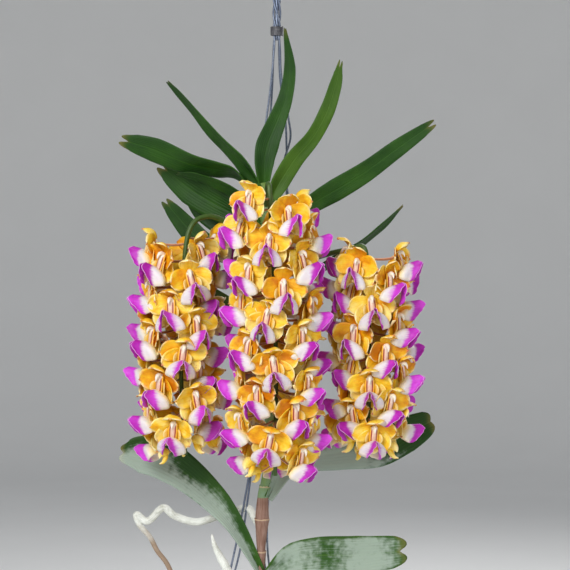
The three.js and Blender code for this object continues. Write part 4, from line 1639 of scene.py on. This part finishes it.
@dataclass
class Hanger:
    """The hook, the four wires twisted round its shank, and the tie that binds them."""

    basket_x: float = -17.0
    corner_reach: float = 42.0
    rim: float = -590.0
    floor: float = -648.4
    hook_radius: float = 1.5
    hook_inner: float = 10.0
    shank_x: float = 0.5
    shank_foot: float = -87.0
    wire_radius: float = 0.8
    gap: float = 0.3
    twist_top: int = -56
    twist_bottom: int = -86
    twist_step: int = 6
    twist_turn: float = 0.12  # radians a millimetre
    above_rim: tuple[float, float] = (12.0, 3.0)  # where a wire drops into its corner hole
    foot_length: float = 8.0  # how far it is bent in under the lowest slat
    tie_z: float = -80.0
    tie_height: float = 8.0
    tie_turns: int = 7
    tie_corners: int = 10  # points to a turn
    tie_radius: float = 0.62
    tie_lift: float = 0.65  # how far the winding's middle line lies over the wires
    tie_ends: float = 1.4  # how much shorter that line is than the tie
    routes: dict[str, tuple[tuple[int, int], list[tuple[float, float, float]]]] = field(
        default_factory=lambda: {
            "wire_back_left": ((-1, 1), [
                (-3, 8, -120), (-5, 11, -146), (-11, 13, -172), (-15, 15, -220), (-17, 17, -300),
                (-18, 15, -400), (-22.5, 12, -443), (-30, 17, -487.5),
            ]),
            "wire_front_left": ((-1, -1), [
                (-4, 4, -120), (-8, 9, -150), (-12.5, 12, -190), (-14, 12, -240), (-14.5, 12.5, -320),
                (-19, 11, -405), (-25, 11.5, -443), (-34, 12, -487.5), (-42, 0, -520),
            ]),
            "wire_front_right": ((1, -1), [
                (4, 5, -115), (9.5, 9, -146), (11, 12, -160), (5.5, 13, -182), (9, 13, -205),
                (8, 13, -250), (4, 13, -320), (-4, 13, -410), (-7, 12, -470), (-3, 10, -505),
                (6, -5, -540),
            ]),
            "wire_back_right": ((1, 1), [
                (3, 9, -115), (7, 13, -146), (8, 16, -170), (8, 17, -205), (6, 17, -260),
                (2, 17, -330), (-6, 16, -410), (-11, 14, -470), (-5, 17, -505),
            ]),
        }
    )

    def hook_curve(self) -> Curve:
        """The hook's middle line, from its open end to the foot of its shank.

        Returns:
            The curve.
        """
        r = self.hook_inner + self.hook_radius
        points = [(-r - 2.5, 0, -self.hook_inner - 9)]
        for turn in range(180, -40, -20):
            a = math.radians(turn)
            points.append((r * math.cos(a), 0, -self.hook_inner + r * math.sin(a)))
        x = self.shank_x
        points += [(5, 0, -24), (x, 0, -34), (x, 0, -60), (x, 0, self.shank_foot)]
        return Curve(points)

    def wire_curve(
        self, corner: tuple[int, int], route: Sequence[tuple[float, float, float]]
    ) -> Curve:
        """One wire: round the shank, along its route, through its corner and under the slats.

        Args:
            corner: The signs of the basket's corner in x and y.
            route: The points between the twist and the basket.

        Returns:
            The curve.
        """
        sx, sy = corner
        aim = math.atan2(sy, sx)
        twist = self.hook_radius + self.wire_radius + self.gap
        points = []
        for z in range(self.twist_top, self.twist_bottom - 1, -self.twist_step):
            turn = aim - (z - self.twist_bottom) * self.twist_turn
            points.append((self.shank_x + twist * math.cos(turn), twist * math.sin(turn), z))
        x, y = self.basket_x + sx * self.corner_reach, sy * self.corner_reach
        foot = self.floor - self.wire_radius - self.gap
        points += [*route, *((x, y, self.rim + above) for above in self.above_rim)]
        points += [(x, y, self.floor + 3), (x - sx * 0.8, y, foot + 0.2)]
        points.append((x - sx * self.foot_length, y, foot))
        return Curve(points, taut=True)

    def tie_curve(self) -> Curve:
        """The tie's windings, wound down the twisted wires.

        Returns:
            The curve.
        """
        radius = self.hook_radius + 2 * self.wire_radius + 2 * self.gap + self.tie_lift
        count = self.tie_turns * self.tie_corners
        points = []
        for i in range(count + 1):
            turn = 2 * math.pi * i / self.tie_corners
            z = self.tie_z + (self.tie_height - self.tie_ends) * (0.5 - i / count)
            points.append((self.shank_x + radius * math.cos(turn), radius * math.sin(turn), z))
        return Curve(points)

    def build(self, wire: bpy.types.Material, tie: bpy.types.Material) -> None:
        """Builds the hook, the wires and the tie.

        Args:
            wire: The finish of the hook and wires.
            tie: The finish of the tie.
        """
        hook = Skin()
        hook.add_bar(bar_mesh(self.hook_curve(), lambda t, _: self._hook_radius(t), 16, 150), 0.0)
        hook.build("hook_wire", wire, "wire", ["hook"])
        for name, (corner, route) in self.routes.items():
            strand = Skin()
            curve = self.wire_curve(corner, route)
            strand.add_bar(bar_mesh(curve, lambda t, _: self.wire_radius, 10, 260), 0.0)
            strand.build(f"{name}_strand", wire, "wire", [name])
        winding = Skin()
        curve = self.tie_curve()
        winding.add_bar(bar_mesh(curve, lambda t, _: self.tie_radius, 8, self.tie_turns * 20), 0.0)
        winding.build("tie_winding", tie, "wire", ["tie_band"])

    def _hook_radius(self, t: float) -> float:
        """The hook's radius, rounded off at its open end."""
        return self.hook_radius * math.sqrt(max(0.05, 1 - max(0.0, 1 - t / 0.012) ** 2))


# Basket


@dataclass
class Basket:
    """The slatted basket and its bark."""

    bevel: float = 0.6
    flat_angle: float = 2.0  # degrees up to which faces of a slat are one face
    edge_angle: float = 70.0  # degrees from which an edge of a slat is softened
    chip_columns: int = 5
    chip_pitch: float = 14.0
    chip_shift: float = 2.5
    large_chip: tuple[tuple[float, float], ...] = ((17, 4), (12, 3), (9, 2))  # side and spread
    chip_round: float = 0.28
    chip_rough: float = 0.10
    chip_turn: float = 3.0
    chip_tilt: float = 0.5
    small_chips: int = 150
    small_draws: int = 500  # where the small chips' draws of shape start
    small_chip: tuple[tuple[float, float], ...] = ((11, 4), (8, 2), (6, 2))
    centre_x: float = -17.0
    inner: float = 74.0
    top: float = -596.0
    floor: float = -626.5

    def build_slats(self) -> None:
        """Rounds each slat's edges and gives it grain that runs along it."""
        teak = [TeakFinish(0).material(), TeakFinish(1).material()]
        for name, node in sorted(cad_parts.items()):
            if "slat" not in name:
                continue
            low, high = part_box(name)
            axis = 0 if high.x - low.x > high.y - low.y else 1
            self._slat(name, node, teak[axis])

    def _slat(self, name: str, node: bpy.types.Object, material: bpy.types.Material) -> None:
        """One slat with softened arrises round its flat faces and wire holes.

        Args:
            name: The slat's node.
            node: The solid that it dresses.
            material: Its finish.
        """
        shape = bmesh.new()
        shape.from_mesh(node.data)
        bmesh.ops.remove_doubles(shape, verts=shape.verts, dist=1e-6)
        bmesh.ops.dissolve_limit(
            shape, angle_limit=math.radians(self.flat_angle), verts=shape.verts, edges=shape.edges
        )
        least = math.radians(self.edge_angle)
        sharp = [e for e in shape.edges if e.is_manifold and e.calc_face_angle() > least]
        bmesh.ops.bevel(
            shape, geom=sharp, offset=self.bevel * MM, segments=2, profile=0.6, affect="EDGES"
        )
        bmesh.ops.triangulate(shape, faces=[f for f in shape.faces if len(f.verts) > 4])
        mesh = bpy.data.meshes.new(f"{name}_wood")
        shape.to_mesh(mesh)
        shape.free()
        mesh.materials.append(material)
        settle(bpy.data.objects.new(f"{name}_wood", mesh), [name])

    def build_bark(self, material: bpy.types.Material) -> None:
        """Heaps the chips: the large ones where the solid has them, small ones between.

        Args:
            material: The chips' finish.
        """
        skin = Skin()
        for k in range(self.chip_columns**2):
            column = k % self.chip_columns - (self.chip_columns - 1) / 2
            row = k // self.chip_columns - (self.chip_columns - 1) / 2
            centre = (
                self.centre_x + column * self.chip_pitch + self.chip_shift * wobble(k, 10),
                row * self.chip_pitch + self.chip_shift * wobble(k, 11),
                self.top - 6 + 3 * wobble(k, 12),
            )
            self._chip(skin, k, self._size(self.large_chip, k, 4), centre)
        for k in range(self.small_chips):
            half = self.inner / 2 - 5
            centre = [self.centre_x + half * wobble(k, 63), half * wobble(k, 64), 0.0]
            wall = k % 4
            if k % 3:
                middle = self.centre_x if wall % 2 == 0 else 0
                centre[wall % 2] = middle + (half if wall < 2 else -half)
            centre[2] = mix(self.floor + 4, self.top - 2, 0.5 + 0.5 * wobble(k, 65))
            self._chip(skin, k + self.small_draws, self._size(self.small_chip, k, 60), centre)
        skin.build("bark_chips", material, "bark", ["bark_medium"])

    @staticmethod
    def _size(sides: Sequence[tuple[float, float]], k: int, channel: int) -> list[float]:
        """The sides of chip k, each drawn on its own channel."""
        return [side + spread * wobble(k, channel + i) for i, (side, spread) in enumerate(sides)]

    def _chip(self, skin: Skin, k: int, size: Sequence[float], centre: Sequence[float]) -> None:
        """One chip: a rough block, broken at its corners, inside the slats.

        Args:
            skin: The skin that it goes into.
            k: Its number, which its shape is drawn from.
            size: Its sides.
            centre: Its place.
        """
        points, faces = cube_shell(np.linspace(-1, 1, 5))
        length = np.linalg.norm(points, axis=1, keepdims=True)
        points = points / length**self.chip_round
        rough = np.array(
            [[wobble(k * 91 + i, 70 + j) for j in range(3)] for i in range(len(points))]
        )
        points = (points + self.chip_rough * rough) * np.array(size) / 2
        turn = Matrix.Rotation(self.chip_turn * wobble(k, 9), 3, "Z")
        turn = turn @ Matrix.Rotation(self.chip_tilt * wobble(k, 8), 3, "Y")
        turn = turn @ Matrix.Rotation(self.chip_tilt * wobble(k, 7), 3, "X")
        points = points @ np.array(turn).T + np.array(centre)
        half = self.inner / 2 - 0.2
        points[:, 0] = np.clip(points[:, 0], self.centre_x - half, self.centre_x + half)
        points[:, 1] = np.clip(points[:, 1], -half, half)
        points[:, 2] = np.maximum(points[:, 2], self.floor)
        marks = np.tile((0.0, 0.0, 0.5 + 0.5 * wobble(k, 13)), (len(points), 1))
        skin.add(points, faces, marks)


def cube_shell(line: Array) -> tuple[Array, Array]:
    """The points and faces of a cube's surface, divided at the places in line.

    Args:
        line: The places along each edge.

    Returns:
        The points and the four-sided faces.
    """
    lookup: dict[tuple[float, ...], int] = {}
    faces = []
    for axis in range(3):
        for end in (line[0], line[-1]):
            for i in range(len(line) - 1):
                for j in range(len(line) - 1):
                    corners = []
                    for a, b in ((i, j), (i + 1, j), (i + 1, j + 1), (i, j + 1)):
                        p = [line[a], line[b]]
                        p.insert(axis, end)
                        corners.append(lookup.setdefault(tuple(p), len(lookup)))
                    outward = (end > 0) == (axis != 1)
                    faces.append(corners if outward else corners[::-1])
    return np.array(list(lookup)), np.array(faces)


# Studio


@dataclass(frozen=True)
class Lamp:
    """A square light, with its place and side in metres and its power in watts."""

    name: str
    place: tuple[float, float, float]  # the height is from the plant's middle
    size: float
    power: float


@dataclass
class Studio:
    """The camera at the photograph's place, a pale floor that sweeps up, and soft lights."""

    centre: tuple[float, float] = (6.75, -273.75)  # x and z at the middle of the frame
    frame_width: float = 427.5
    plane: float = -25.0
    distance: float = 1400.0
    sensor: float = 36.0
    floor_drop: float = 60.0
    floor_radius: float = 2.9
    wall_radius: float = 3.8
    wall_height: float = 2.6
    bend_steps: int = 12
    sides: int = 96
    lamps: tuple[Lamp, ...] = (
        Lamp("key", (-0.75, -1.5, 0.75), 0.8, 27.0),
        Lamp("fill", (1.05, -1.35, 0.1), 1.1, 6.0),
        Lamp("back", (0.5, 1.2, 0.9), 0.9, 12.0),
    )
    sky: Colour = (0.92, 0.95, 1.0)
    sky_strength: float = 0.36

    def build(self) -> None:
        """Makes the camera, the sweep and the lights."""
        self._camera()
        self._sweep()
        for lamp in self.lamps:
            self._light(lamp)
        self._world()
        bpy.context.scene.view_settings.view_transform = "Standard"

    def _camera(self) -> None:
        """A level camera that looks along +Y and frames what the photograph frames."""
        data = bpy.data.cameras.new("camera")
        data.sensor_width = self.sensor
        data.lens = self.sensor * self.distance / self.frame_width
        camera = bpy.data.objects.new("camera", data)
        bpy.context.scene.collection.objects.link(camera)
        x, z = self.centre
        camera.location = Vector((x, self.plane - self.distance, z)) * MM
        camera.rotation_euler = (math.pi / 2, 0, 0)
        bpy.context.scene.camera = camera

    def _sweep(self) -> None:
        """A round pale floor that curves up into a plain wall."""
        bend = self.wall_radius - self.floor_radius
        base = frame_low.z - self.floor_drop * MM
        profile = [(0.0, base), (self.floor_radius * 0.5, base), (self.floor_radius, base)]
        for i in range(1, self.bend_steps + 1):
            a = math.pi / 2 * i / self.bend_steps
            profile.append((self.floor_radius + bend * math.sin(a), base + bend * (1 - math.cos(a))))
        profile.append((self.wall_radius, base + self.wall_height))
        sides = self.sides
        points = [
            (r * math.cos(2 * math.pi * j / sides), r * math.sin(2 * math.pi * j / sides), z)
            for r, z in profile[1:]
            for j in range(sides)
        ]
        faces = []
        for i in range(len(profile) - 2):
            for j in range(sides):
                a, b = i * sides + j, i * sides + (j + 1) % sides
                faces.append((a, b, b + sides, a + sides))
        faces.append(tuple(range(sides))[::-1])
        mesh = bpy.data.meshes.new("floor")
        mesh.from_pydata(points, [], faces)
        mesh.shade_smooth()
        floor = bpy.data.objects.new("floor", mesh)
        shading = Shading("floor")
        grain = shading.noise(6.0, 2.0)
        tone = shading.blend(grain, (0.80, 0.80, 0.79), (0.84, 0.84, 0.83))
        mesh.materials.append(shading.finish(tone, 0.9))
        bpy.context.scene.collection.objects.link(floor)

    def _light(self, lamp: Lamp) -> None:
        """Makes a square soft light aimed at the middle of the plant.

        Args:
            lamp: The light's place, size and power.
        """
        data = bpy.data.lights.new(lamp.name, "AREA")
        data.shape = "SQUARE"
        data.size = lamp.size
        data.energy = lamp.power
        x, z = self.centre[0] * MM, self.centre[1] * MM
        light = bpy.data.objects.new(lamp.name, data)
        light.location = (lamp.place[0], lamp.place[1], z + lamp.place[2])
        aim = Vector((x, 0, z)) - light.location
        light.rotation_euler = aim.to_track_quat("-Z", "Y").to_euler()
        bpy.context.scene.collection.objects.link(light)

    def _world(self) -> None:
        """An even pale sky."""
        world = bpy.data.worlds.new("sky")
        world.use_nodes = True
        background = world.node_tree.nodes["Background"]
        background.inputs["Color"].default_value = (*self.sky, 1.0)
        background.inputs["Strength"].default_value = self.sky_strength
        bpy.context.scene.world = world


def main() -> None:
    """Builds the plant, its hanger and basket, and the studio."""
    logging.basicConfig(level=logging.INFO, format="%(name)s %(message)s")
    Studio().build()
    finishes = [f.material() for f in (PetalFinish(), LipFinish(), CentreFinish(), StalkFinish())]
    for raceme in RACEMES:
        raceme.build(*finishes)
    greens = {finish.name: finish.material() for finish in FINISHES}
    for leaf in LEAVES:
        leaf.build(greens[leaf.finish.name])
    Stem().build(StemFinish().material())
    bark = RootFinish().material()
    for root in ROOTS:
        root.build(bark)
    tie = WireFinish("tie_wire", (0.08, 0.08, 0.09), (0.16, 0.16, 0.17), 0.5).material()
    Hanger().build(WireFinish().material(), tie)
    basket = Basket()
    basket.build_slats()
    basket.build_bark(BarkFinish().material())


if __name__ == "__main__":
    main()
    bpy.context.view_layer.update()
